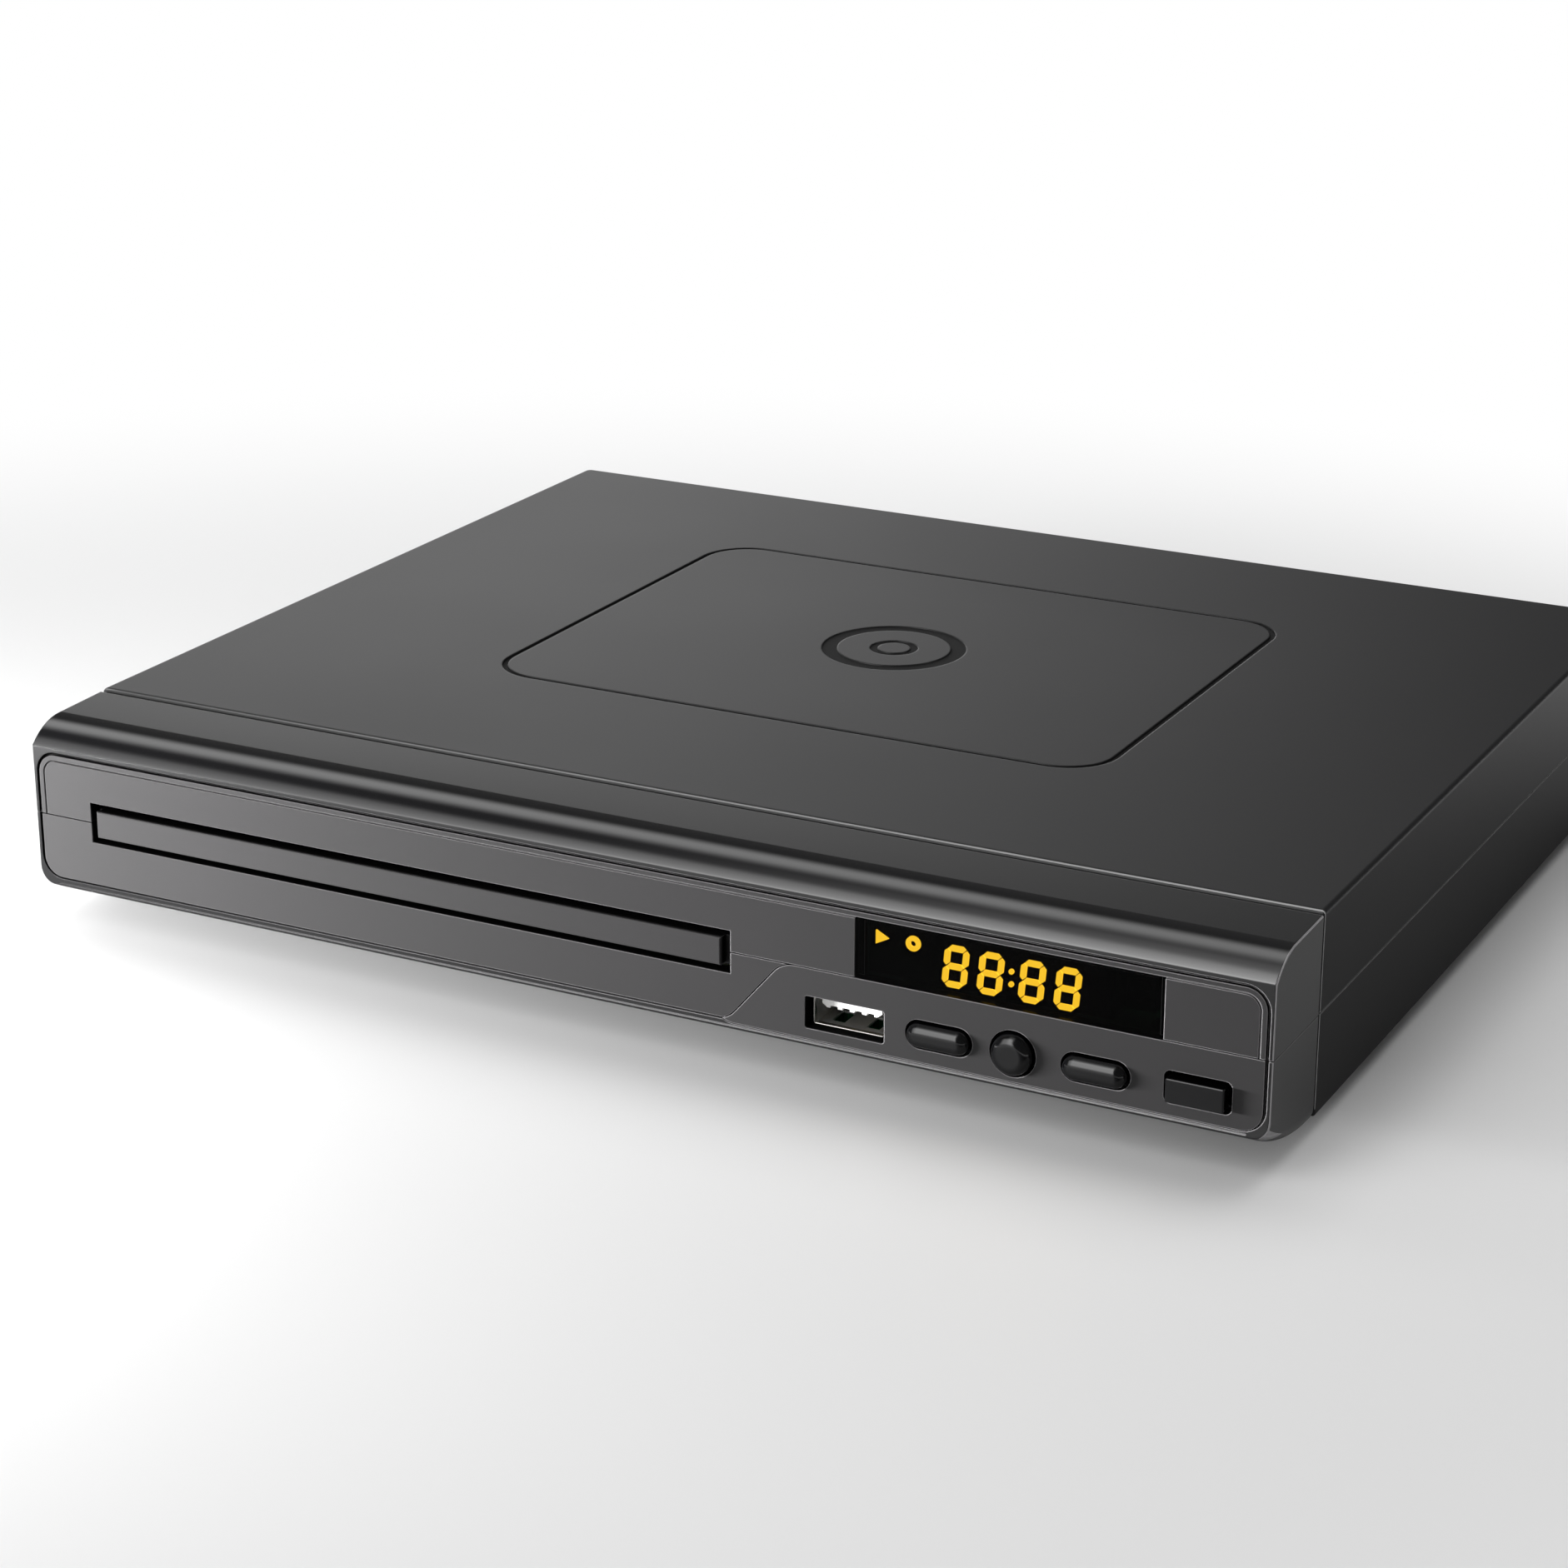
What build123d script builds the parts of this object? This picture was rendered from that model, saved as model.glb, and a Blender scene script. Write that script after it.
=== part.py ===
from build123d import *
from math import acos, cos, degrees, pi, radians, sin, tan
import os

# Compact disc player with a sliding tray, millimetres.
# X runs to the right, Y to the rear and Z up, from the middle of the footprint.
# Depths are counted from the front face, heights from the underside of the case.

# Case
width = 240.0
depth = 200.0
height = 36.0
wall = 2.0
edge_round = 0.8
corner_round = 1.5
case_front_round = 0.4
badge_length = 126.0
badge_depth = 97.8
badge_center = 112.2
badge_round = 10.2
badge_groove = 1.1
badge_groove_depth = 0.45
emblem_depth = 0.25
emblem_radius = 14.0
emblem_band = 3.0
vent_count = 14
vent_pitch = 6.0
vent_length = 9.0
vent_width = 2.0
floor_vent_length = 22.0
floor_vent_width = 2.4
floor_vent_rows = 7
seam_height = 18.4
seam_gap = 0.2
lap_height = 1.6
lap_thickness = 0.8
fit = 0.15

# Feet
foot_height = 3.0
foot_radius = 8.0
foot_seat = 0.6
foot_inset = 24.0

# Gloss front section, split from the case by a groove
front_depth = 20.4
groove_width = 0.9
groove_depth = 0.5
lip_drop = 0.4
crease_height = height - 4.6
lip_run = 8.4
lip_rise = 3.9
chin_height = 4.7
chin_drop = 0.9
chin_round = 3.0
front_round = 0.35
clip_width = 12.0
clip_thickness = 1.5
clip_reach = 6.0
clip_pitch = 80.0

# Front panel, set in a groove inside the gloss frame
panel_rim = 0.75
panel_round = 4.3
panel_low_left = 6.05
panel_low_right = 5.55
panel_thickness = 2.5
panel_groove = 0.6
panel_low_groove = 0.35
panel_groove_depth = 0.8
bead_inset = 1.5
bead_groove = 0.3
split_x = width / 2 - 99.3
split_run = 10.4
split_round = 5.2
chin_line_height = 5.15
chin_line = 0.18

# Window and display
window_width = 53.9
window_thickness = 1.5
window_ledge = 1.0
window_center = width / 2 - 45.4
digit_width = 4.3
digit_margin = 1.5
digit_stroke = 1.0
digit_lean = 5.0
digit_pitch = 6.2
digit_pair_gap = 1.07
digit_start = 9.8
digit_thickness = 0.4
display_clearance = 0.2

# Tray opening, tray and disc
opening_start = 12.5
opening_margin = 0.8
opening_height = 7.7
door_margin = 0.8
door_height = 5.0
door_thickness = 2.0
door_proud = 0.35
tray_rim = 4.7
tray_height = 5.2
tray_tail = 88.0
disc_margin = 11.5
disc_radius = 60.0
disc_clearance = 0.5
small_disc_radius = 40.0
disc_pocket = 3.1
small_disc_pocket = 0.8
slot_radius = 17.5
slide_gap = 0.3
door_round = 0.3

# Controls and socket on the front panel
control_height = 10.65
button_length = 12.1
button_height = 5.2
button_travel = 0.5
button_proud = 1.8
button_gap = 0.5
flange_margin = 0.8
flange_thickness = 1.0
stem_radius = 1.2
left_button_x = width / 2 - 57.15
right_button_x = width / 2 - 29.6
round_button_x = width / 2 - 44.0
round_radius = 4.1
round_proud = 1.9
power_x = width / 2 - 12.2
power_length = 11.5
power_height = 5.7
power_gap = 0.8
power_proud = 1.6
power_travel = 1.5
usb_x = width / 2 - 74.3
usb_height = 10.5
usb_cut_length = 14.6
usb_cut_height = 5.8
usb_bore_width = 12.6
usb_bore_height = 5.2
usb_wall = 0.35
usb_length = 13.8
tongue_width = 11.1
tongue_thickness = 1.84

# Rear sockets
jack_reach = 8.0
jack_radius = 4.15
jack_bore = 3.2
jack_root_radius = 4.8
jack_pin_bore = 1.6
jack_pitch = 14.0
jack_height = 19.5
jack_x = width / 2 - 54.0
inlet_x = width / 2 - 20.5
inlet_width = 19.0
inlet_height = 13.0
inlet_bore = 8.2
inlet_bore_pitch = 7.2
inlet_depth = 12.0
inlet_pin_radius = 1.2
inlet_pin_pitch = 8.6
hdmi_x = width / 2 - 83.0
hdmi_width = 14.4
hdmi_height = 5.6
rear_sheet = 1.6
socket_bay_left = 96.0
socket_bay_right = 6.0
socket_bay_sill = 5.0
sheet_lap = 2.0
sheet_margin = 3.2
socket_gap = 0.2

# Boards and fasteners
board_thickness = 1.6
board_height = 8.0
front_board_depth = 9.0
front_board_margin = 4.0
front_board_low = 5.6
front_board_high = 30.0
upper_screw_height = 25.5
lower_screw_height = 16.2
front_post_radius = 2.0
board_post_radius = 2.8
board_screw_bite = 4.0
screw_clearance = 0.3
screw_radius = 1.1
screw_head_radius = 2.2
screw_head = 1.6
screw_bite = 7.0
pilot_gap = 0.05
boss_radius = 3.5
screw_seat = 3.0
ribbon_width = 14.0
ribbon_height = 23.0
boss_inset = 6.4

# Loader mechanism
loader_wall = 2.5
loader_front = 5.0
deck_drop = 3.8
deck_thickness = 2.0
bay_drop = 9.5
bay_thickness = 1.5
bay_front = 11.5
window_half = 36.0
gear_module = 1.0
gear_pressure = 25.0
gear_addendum = 0.8
gear_dedendum = 1.1
gear_backlash = 0.25
gear_bore_gap = 0.05
gear_post_radius = 1.5
wheel_teeth = 24
pinion_teeth = 10
pulley_pinion_teeth = 12
gear_thickness = 2.6
drive_inset = 12.7
drive_depth = 20.0
train_angle = 160.0
motor_offset = -22.0
motor_depth = 24.0
motor_radius = 12.0
motor_shaft_radius = 1.0
belt_big_radius = 10.5
belt_small_radius = 3.5
belt_thickness = 1.2
belt_gap = 0.15
pulley_flange = 0.8
rack_gap = 0.2
rack_channel = 1.05
rack_backing = 2.4

# Traverse, pickup and clamp
traverse_half = 32.0
traverse_wall = 1.6
traverse_plate = 1.5
traverse_drop = 7.5
pivot_drop = 5.5
pivot_radius = 2.0
pivot_gap = 0.06
pivot_reach = 7.5
lift_angle = 2.95
lift_pin_radius = 1.4
lift_pin_drop = 3.5
lift_pin_offsets = (-10.0, 20.0)
cam_thickness = 2.4
cam_travel = 16.0
cam_slot_gap = 0.3
cam_left = -30.0
cam_right = 24.0
cam_margin = 1.2
turntable_radius = 14.0
rotor_radius = 12.5
hub_radius = 7.4
disc_seat = 3.7
stator_radius = 11.5
rod_radius = 1.5
rod_gap = 0.05
rod_drop = 4.2
rod_offsets = (-27.0, 20.0)
screw_offset = 26.0
lead_screw_radius = 1.25
feed_motor_radius = 3.8
feed_motor_length = 14.0
sled_length = 28.0
sled_travel = 35.0
clamper_radius = 16.0
clamper_neck = 12.0
clamper_gap = 1.2
bridge_lift = 2.2
bridge_thickness = 1.7
bridge_length = 38.0
bridge_boss_radius = 2.8
bridge_screw_pitch = 24.0

# Worked out from the sizes above
tray_width = 2 * (disc_radius + disc_clearance + tray_rim)
opening_width = tray_width + 2 * opening_margin
door_width = tray_width - 2 * door_margin
tray_center = opening_start + opening_width / 2 - width / 2
spindle_depth = disc_margin + disc_radius + disc_clearance
tray_rear = spindle_depth + tray_tail
cam_front = spindle_depth - 22
bay_rear = cam_front - 1.5
traverse_front = cam_front + 5
sled_front = spindle_depth + 16
lens_depth = sled_front + 8
sled_end = sled_front + sled_length + sled_travel
pivot_depth = sled_end + 7
traverse_rear = pivot_depth + 4
window_rear = pivot_depth + 6
loader_rear = window_rear + 8
front_reach = max(button_proud, round_proud, power_proud, door_proud)
front_y = (front_reach - depth - jack_reach) / 2
case_front = front_depth + groove_width
lip_top = crease_height + lip_rise
lip_rear_height = height - lip_drop
panel_half = width / 2 - panel_rim
panel_high = crease_height - panel_rim
opening_low = seam_height - opening_height / 2
opening_high = opening_low + opening_height
door_low = opening_low + (opening_height - door_height) / 2 - 0.1
door_high = door_low + door_height
tray_front = door_thickness - door_proud
tray_low = seam_height - 2.9
tray_high = tray_low + tray_height
disc_floor = tray_high - disc_pocket
window_high = panel_high - bead_inset - bead_groove
window_low = seam_height + seam_gap / 2
digit_height = window_high - window_low - 2 * digit_margin
deck_top = tray_low - deck_drop
deck_low = deck_top - deck_thickness
bay_top = tray_low - bay_drop
bay_low = bay_top - bay_thickness
wall_top = tray_high + bridge_lift
tray_half = tray_width / 2
loader_inner = tray_half + slide_gap
loader_outer = loader_inner + loader_wall
wheel_radius = gear_module * wheel_teeth / 2
pinion_radius = gear_module * pinion_teeth / 2
pulley_pinion_radius = gear_module * pulley_pinion_teeth / 2
drive_x = tray_center + tray_half - drive_inset
bridge_ear = loader_outer + 2.5
train_distance = wheel_radius + pulley_pinion_radius
pulley_x = drive_x + train_distance * cos(radians(train_angle))
pulley_depth = drive_depth + train_distance * sin(radians(train_angle))
motor_x = tray_center + motor_offset
rack_x = drive_x + pinion_radius
rack_low = opening_low + rack_gap
rack_top = tray_low + rack_channel
train_low = bay_top + 0.8
belt_low = tray_low - gear_thickness - 0.5
traverse_low = tray_low - traverse_drop
plate_top = traverse_low + traverse_plate
pivot_height = tray_low - pivot_drop
lift_pin_height = tray_low - lift_pin_drop
cam_drop = (pivot_depth - cam_front - cam_thickness / 2) * sin(radians(lift_angle))
cam_top = tray_low - 0.4
cam_low = lift_pin_height - cam_drop - lift_pin_radius - cam_slot_gap - cam_margin
rod_height = tray_low - rod_drop
seat_height = tray_low + disc_seat
bridge_top = wall_top + bridge_thickness
clamper_low = seat_height + 1.4
board_top = board_height + board_thickness
rear_face = depth - wall
jack_xs = (jack_x - jack_pitch, jack_x, jack_x + jack_pitch)
socket_bay = (width / 2 - socket_bay_left, width / 2 - socket_bay_right)
upper_screws = [(x, upper_screw_height) for x in (width / 2 - 76.5, width / 2 - 8)]
lower_screws = [(x, lower_screw_height) for x in (usb_x + 10.5, power_x - 9.2)]
screw_hole = screw_radius + pilot_gap
through_hole = screw_radius + screw_clearance
vent_x = tray_center - 10
board_left = tray_center + loader_outer + 2.5
board_right = width / 2 - 31
board_middle = (board_left + board_right) / 2
board_front = 70.0
board_rear = rear_face - 3
board_posts = [
    (x, d) for x in (board_left + 5, board_right - 4) for d in (board_front + 6, board_front + 80)
]
ribbon_x = board_middle + 8
power_left = board_right + 1.5
power_right = width / 2 - 3.5
power_middle = (power_left + width / 2 - 10.5) / 2
power_front = 60.0
power_posts = [
    (x, d) for x in (power_left + 3.5, power_right - 3.5) for d in (power_front + 6, rear_face - 26)
]
boss_x = width / 2 - boss_inset
boss_front = case_front + 8.7
boss_rear = depth - 10.0
case_bosses = [(x, d) for x in (-boss_x, boss_x) for d in (boss_front, boss_rear)]
foot_x = width / 2 - foot_inset
foot_places = [(x, d) for x in (-foot_x, foot_x) for d in (case_front + foot_inset, depth - foot_inset)]
loader_posts = [
    (tray_center + sign * (tray_half - 4.2), d)
    for sign in (-1, 1)
    for d in (traverse_front - 1, loader_rear - 5)
]
bridge_screws = [
    (tray_center + sign * bridge_ear, spindle_depth + sign_d * bridge_screw_pitch / 2)
    for sign in (-1, 1)
    for sign_d in (-1, 1)
]


# Planes and plain bodies, all in width, depth and height
def level(h):
    """Plan view plane at height h, drawn in x and depth."""
    return Plane(origin=(0, front_y, foot_height + h), x_dir=(1, 0, 0), z_dir=(0, 0, 1))


def face(d):
    """Front view plane at depth d, drawn in x and height, facing the front."""
    return Plane(origin=(0, front_y + d, foot_height), x_dir=(1, 0, 0), z_dir=(0, -1, 0))


def side(x):
    """Side view plane at x, drawn in depth and height, facing the right."""
    return Plane(origin=(x, front_y, foot_height), x_dir=(0, 1, 0), z_dir=(1, 0, 0))


def around(center, size):
    return (center - size / 2, center + size / 2)


def block(x, d, h, mode=Mode.ADD):
    """Box between two limits in x, in depth and in height."""
    center = (sum(x) / 2, front_y + sum(d) / 2, foot_height + sum(h) / 2)
    with Locations(center):
        Box(x[1] - x[0], d[1] - d[0], h[1] - h[0], mode=mode)


def post(x, d, h, radius, mode=Mode.ADD):
    """Upright cylinder at x and d between two heights."""
    with Locations((x, front_y + d, foot_height + sum(h) / 2)):
        Cylinder(radius, h[1] - h[0], mode=mode)


def rod(x, d, h, radius, mode=Mode.ADD):
    """Cylinder along the depth between two depths."""
    with Locations(Location((x, front_y + sum(d) / 2, foot_height + h), (90, 0, 0))):
        Cylinder(radius, d[1] - d[0], mode=mode)


def axle(x, d, h, radius, mode=Mode.ADD):
    """Cylinder across the width between two places."""
    with Locations(Location((sum(x) / 2, front_y + d, foot_height + h), (0, 90, 0))):
        Cylinder(radius, x[1] - x[0], mode=mode)


def screw_down(x, d, h, bite=screw_bite):
    """Pan head screw driven downwards, its head resting at height h."""
    post(x, d, (h, h + screw_head), screw_head_radius)
    post(x, d, (h - bite, h), screw_radius)


def pilot_down(x, d, h, bite=screw_bite):
    """Blind hole for the screw that rests at height h."""
    post(x, d, (h - bite - 1, h), screw_hole, Mode.SUBTRACT)


# Front panel outlines
def panel_outline(margin, low_margin):
    """The panel's outline, set in from the opening by one margin and at its lower edge by another."""
    high = panel_high - margin
    left = (margin - panel_half, split_x + 3 * panel_round)
    right = (split_x + margin, panel_half - margin)
    with BuildSketch() as outline:
        for (start, end), low in ((left, panel_low_left), (right, panel_low_right)):
            with Locations(((start + end) / 2, (low + low_margin + high) / 2)):
                RectangleRounded(end - start, high - low - low_margin, panel_round - margin)
    return outline.sketch_local


def control_zone(growth):
    """Area under the seam and to the right of the slanted split, grown by a little."""
    far = width / 2 + 10
    start = split_x - 6
    top = split_x + 3 + split_run
    with BuildSketch() as zone:
        with BuildLine():
            FilletPolyline(
                (start, panel_low_left),
                (split_x + 3, panel_low_left),
                (top, seam_height),
                (top + 8, seam_height),
                radius=split_round,
            )
            Polyline(
                (top + 8, seam_height),
                (far, seam_height),
                (far, -5),
                (start, -5),
                (start, panel_low_left),
            )
        make_face()
        offset(amount=growth, kind=Kind.INTERSECTION)
    return zone.sketch_local


def half_zone(low, high):
    """Full width band between two heights."""
    with BuildSketch() as zone:
        with Locations((0, (low + high) / 2)):
            Rectangle(width + 20, high - low)
    return zone.sketch_local


def fascia(zone, low_groove, hole=None):
    """Panel piece: a base that fills the frame, under a face that leaves the groove."""
    base = (fit, fit, panel_groove_depth, panel_thickness)
    front = (panel_groove, low_groove, 0, panel_groove_depth)
    for margin, low_margin, near, far in (base, front):
        with BuildSketch(face(near)) as outline:
            add(panel_outline(margin, low_margin))
            add(zone, mode=Mode.INTERSECT)
            if hole is not None:
                add(hole, mode=Mode.SUBTRACT)
        extrude(outline.sketch, amount=near - far)
    block(
        around(tray_center, opening_width),
        (-1, panel_thickness + 1),
        (opening_low, opening_high),
        Mode.SUBTRACT,
    )


def board_posts_out(places):
    """Hollow posts behind the panel that carry the front board."""
    for x, h in places:
        rod(x, (panel_thickness, front_board_depth), h, front_post_radius)
        rod(x, (panel_thickness + 1, front_board_depth), h, screw_hole, Mode.SUBTRACT)


def front_profile():
    """Side outline of the gloss front, in depth and height."""
    with BuildSketch() as outline:
        with BuildLine():
            Polyline((lip_run, lip_top), (front_depth, lip_rear_height), (front_depth, -chin_drop))
            TangentArc((front_depth, -chin_drop), (0, chin_height), tangent=(-1, 0))
            Line((0, chin_height), (0, crease_height))
            TangentArc((lip_run, lip_top), (0, crease_height), tangent=(-1, 0))
        make_face()
    return outline.sketch_local


# Gloss front, one ring before the seam splits it
with BuildPart() as front_ring:
    with BuildSketch(side(-width / 2)):
        add(front_profile())
    extrude(amount=width)
    bottom_edges = edges().filter_by_position(Axis.X, -width / 2, -width / 2)
    bottom_edges += edges().filter_by_position(Axis.X, width / 2, width / 2)
    bottom_edges = bottom_edges.group_by(Axis.Z)[0]
    fillet(bottom_edges, chin_round)
    side_edges = edges().filter_by_position(Axis.X, -width / 2, -width / 2)
    side_edges += edges().filter_by_position(Axis.X, width / 2, width / 2)
    rear_edges = edges().filter_by_position(Axis.Y, front_y + front_depth, front_y + front_depth)
    front_edges = edges().filter_by_position(Axis.Y, front_y, front_y)
    lip_edges = side_edges.filter_by(lambda edge: edge not in rear_edges and edge not in front_edges)
    lip_edges = lip_edges.filter_by(lambda edge: edge.center().Z > foot_height + crease_height)
    fillet(front_edges + lip_edges, front_round)
    block(
        around(0, width - 2 * groove_depth),
        (front_depth, case_front - fit),
        (groove_depth, lip_rear_height - groove_depth),
    )
    with BuildSketch(side(wall - width / 2)):
        add(front_profile())
        offset(amount=-wall, kind=Kind.INTERSECTION)
    extrude(amount=width - 2 * wall, mode=Mode.SUBTRACT)
    block(
        around(0, width - 2 * wall),
        (front_depth - wall - 1, case_front),
        (wall + 0.3, lip_rear_height - wall - 0.1),
        Mode.SUBTRACT,
    )
    with BuildSketch(face(0)):
        add(panel_outline(0, 0))
    extrude(amount=-panel_thickness, mode=Mode.SUBTRACT)
    block(
        around(0, width - 2 * chin_round - 2),
        (-1, chin_line),
        around(chin_line_height, chin_line),
        Mode.SUBTRACT,
    )

with BuildPart() as front_lip:
    add(front_ring.part)
    split(bisect_by=level(seam_height + seam_gap / 2), keep=Keep.TOP)
    clip_top = height - wall - slide_gap
    for place in (-clip_pitch, 0, clip_pitch):
        block(
            around(place, clip_width),
            (front_depth - wall, case_front + clip_reach),
            (clip_top - clip_thickness, clip_top),
        )

with BuildPart() as front_skirt:
    add(front_ring.part)
    split(bisect_by=level(seam_height - seam_gap / 2), keep=Keep.BOTTOM)
    for place in (-clip_pitch, 0, clip_pitch):
        block(
            around(place, clip_width),
            (front_depth - wall, case_front + clip_reach),
            (wall + slide_gap, wall + slide_gap + clip_thickness),
        )


def rear_vents(h):
    """Row of upright slots through the rear wall, centred at height h."""
    with BuildSketch(face(depth)) as slots:
        with Locations((vent_x, h)):
            with GridLocations(vent_pitch, vent_length, vent_count, 1):
                SlotOverall(vent_length, vent_width, rotation=90)
    extrude(slots.sketch, amount=wall + 1, both=True, mode=Mode.SUBTRACT)


# Main case, two shells that lap at the seam
with BuildPart() as top_cover:
    low = seam_height + seam_gap / 2
    block(around(0, width), (case_front, depth), (low, height))
    fillet(edges().filter_by(Axis.Z).sort_by(Axis.Y)[-2:], corner_round)
    fillet(edges().filter_by(Axis.Z).sort_by(Axis.Y)[:2], case_front_round)
    fillet(faces().sort_by(Axis.Z)[-1].edges(), edge_round)
    block(around(0, width - 2 * wall), (case_front - 1, rear_face), (low - 1, height - wall), Mode.SUBTRACT)
    lap_half = width / 2 - wall + lap_thickness + fit
    block(
        around(0, 2 * lap_half),
        (case_front - 1, rear_face + lap_thickness + fit),
        (low - 1, low + lap_height),
        Mode.SUBTRACT,
    )
    for x, d in case_bosses:
        post(x, d, (seam_height - 2, height - wall), boss_radius)
        post(x, d, (seam_height - 3, seam_height + 8), screw_hole, Mode.SUBTRACT)
    block(socket_bay, (rear_face - 1, depth + 1), (low - 1, height - socket_bay_sill), Mode.SUBTRACT)
    rear_vents((low + height) / 2 - 1.2)
    with BuildSketch(level(height)):
        with Locations((0, badge_center)):
            RectangleRounded(badge_length, badge_depth, badge_round)
            RectangleRounded(
                badge_length - 2 * badge_groove,
                badge_depth - 2 * badge_groove,
                badge_round - badge_groove,
                mode=Mode.SUBTRACT,
            )
    extrude(amount=-badge_groove_depth, mode=Mode.SUBTRACT)
    with BuildSketch(level(height)):
        with Locations((0, badge_center)):
            Circle(emblem_radius)
            Circle(emblem_radius - emblem_band, mode=Mode.SUBTRACT)
            Circle(emblem_radius / 3)
            Circle(emblem_radius / 3 - emblem_band / 2, mode=Mode.SUBTRACT)
    extrude(amount=-emblem_depth, mode=Mode.SUBTRACT)

with BuildPart() as bottom_case:
    high = seam_height - seam_gap / 2
    block(around(0, width), (case_front, depth), (0, high))
    fillet(edges().filter_by(Axis.Z).sort_by(Axis.Y)[-2:], corner_round)
    fillet(edges().filter_by(Axis.Z).sort_by(Axis.Y)[:2], case_front_round)
    fillet(faces().sort_by(Axis.Z)[0].edges().filter_by(Axis.X).sort_by(Axis.Y)[-1], edge_round)
    block(around(0, width - 2 * wall), (case_front - 1, rear_face), (wall, high + 1), Mode.SUBTRACT)
    lap_half = width / 2 - wall + lap_thickness
    for x in ((-lap_half, wall - width / 2), (width / 2 - wall, lap_half)):
        block(x, (case_front, rear_face + lap_thickness), (high - 1, high + lap_height))
    rear_lap = (rear_face, rear_face + lap_thickness)
    block((-lap_half, socket_bay[0] - 2), rear_lap, (high - 1, high + lap_height))
    block(socket_bay, (rear_face - 1, depth + 1), (socket_bay_sill, height), Mode.SUBTRACT)
    for x, d in case_bosses:
        post(x, d, (0, seam_height - 2 - fit), boss_radius)
        post(x, d, (-1, height), through_hole, Mode.SUBTRACT)
        post(x, d, (-1, screw_seat), screw_head_radius + 0.4, Mode.SUBTRACT)
    for x, d in loader_posts:
        post(x, d, (wall, deck_low), boss_radius)
        pilot_down(x, d, deck_low, screw_bite - deck_thickness)
    for x, d in foot_places:
        post(x, d, (-1, foot_seat), foot_radius + fit, Mode.SUBTRACT)
    for x, d in board_posts + power_posts:
        post(x, d, (wall, board_height), board_post_radius)
        pilot_down(x, d, board_height, board_screw_bite)
    with BuildSketch(level(0)):
        with Locations((width / 2 - 60, (board_front + board_rear) / 2 - 10)):
            with GridLocations(floor_vent_length + 8, 3 * floor_vent_width, 2, floor_vent_rows):
                SlotOverall(floor_vent_length, floor_vent_width)
    extrude(amount=wall + 1, mode=Mode.SUBTRACT)
    rear_vents(high / 2 + 0.35)

with BuildPart() as feet:
    for x, d in foot_places:
        post(x, d, (-foot_height, foot_seat), foot_radius)
    fillet(edges().group_by(Axis.Z)[0], 0.6)

# Front panel pieces
upper_zone = half_zone(seam_height + seam_gap / 2, height)
lower_zone = half_zone(0, seam_height - seam_gap / 2)

with BuildPart() as upper_fascia:
    fascia(upper_zone, panel_low_groove)
    with BuildSketch(face(0)):
        add(panel_outline(bead_inset, bead_inset))
        add(panel_outline(bead_inset + bead_groove, bead_inset), mode=Mode.SUBTRACT)
    extrude(amount=-bead_groove, mode=Mode.SUBTRACT)
    block(
        around(window_center, window_width + 2 * fit),
        (-1, window_thickness),
        (window_low - 1, window_high + fit),
        Mode.SUBTRACT,
    )
    block(
        around(window_center, window_width - 2 * window_ledge),
        (0, panel_thickness + 1),
        (window_low - 1, window_high - window_ledge / 2),
        Mode.SUBTRACT,
    )
    board_posts_out(upper_screws)

with BuildPart() as lower_fascia:
    fascia(lower_zone, panel_low_groove, control_zone(seam_gap / 2))

with BuildPart() as control_panel:
    fascia(control_zone(-seam_gap / 2), fit)
    through = 2 * panel_thickness
    with BuildSketch(face(-1)):
        with Locations((left_button_x, control_height), (right_button_x, control_height)):
            SlotOverall(button_length, button_height)
        with Locations((round_button_x, control_height)):
            Circle(round_radius)
        with Locations((power_x, control_height)):
            RectangleRounded(power_length, power_height, 1.2)
        with Locations((usb_x, usb_height)):
            RectangleRounded(usb_cut_length, usb_cut_height, 0.5)
    extrude(amount=-through, mode=Mode.SUBTRACT)
    board_posts_out(lower_screws)

with BuildPart() as display_window:
    block(around(window_center, window_width), (0, window_thickness), (window_low, window_high))
    fillet(edges().filter_by(Axis.X).group_by(Axis.Y)[0].sort_by(Axis.Z)[-1], 0.2)

# Buttons, each a crowned cap on a flange with a stem
stem_start = panel_thickness + slide_gap
flange_end = stem_start + flange_thickness
stem_end = flange_end + 0.8


def oval_button(x):
    """Oval cap at x, with the flange and stem behind it."""
    with BuildSketch(face(-button_proud)) as cap:
        with Locations((x, control_height)):
            SlotOverall(button_length - 2 * button_gap, button_height - 2 * button_gap)
    extrude(cap.sketch, amount=-(button_proud + stem_start))
    fillet(faces().sort_by(Axis.Y)[0].edges(), button_proud - 0.1)
    with BuildSketch(face(stem_start)) as flange:
        with Locations((x, control_height)):
            SlotOverall(button_length + 2 * flange_margin, button_height + 2 * flange_margin)
    extrude(flange.sketch, amount=-flange_thickness)
    rod(x, (stem_start, stem_end), control_height, stem_radius)


with BuildPart() as button_left:
    oval_button(left_button_x)

with BuildPart() as button_right:
    oval_button(right_button_x)

with BuildPart() as button_round:
    rod(round_button_x, (-round_proud, stem_start), control_height, round_radius - button_gap)
    fillet(faces().sort_by(Axis.Y)[0].edges(), round_proud - 0.1)
    rod(round_button_x, (stem_start, flange_end), control_height, round_radius + flange_margin)
    block(
        around(round_button_x, 2 * round_radius),
        (stem_start - 0.1, flange_end + 0.1),
        (0, control_height - round_radius),
        Mode.SUBTRACT,
    )
    rod(round_button_x, (stem_start, stem_end), control_height, stem_radius)

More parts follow.
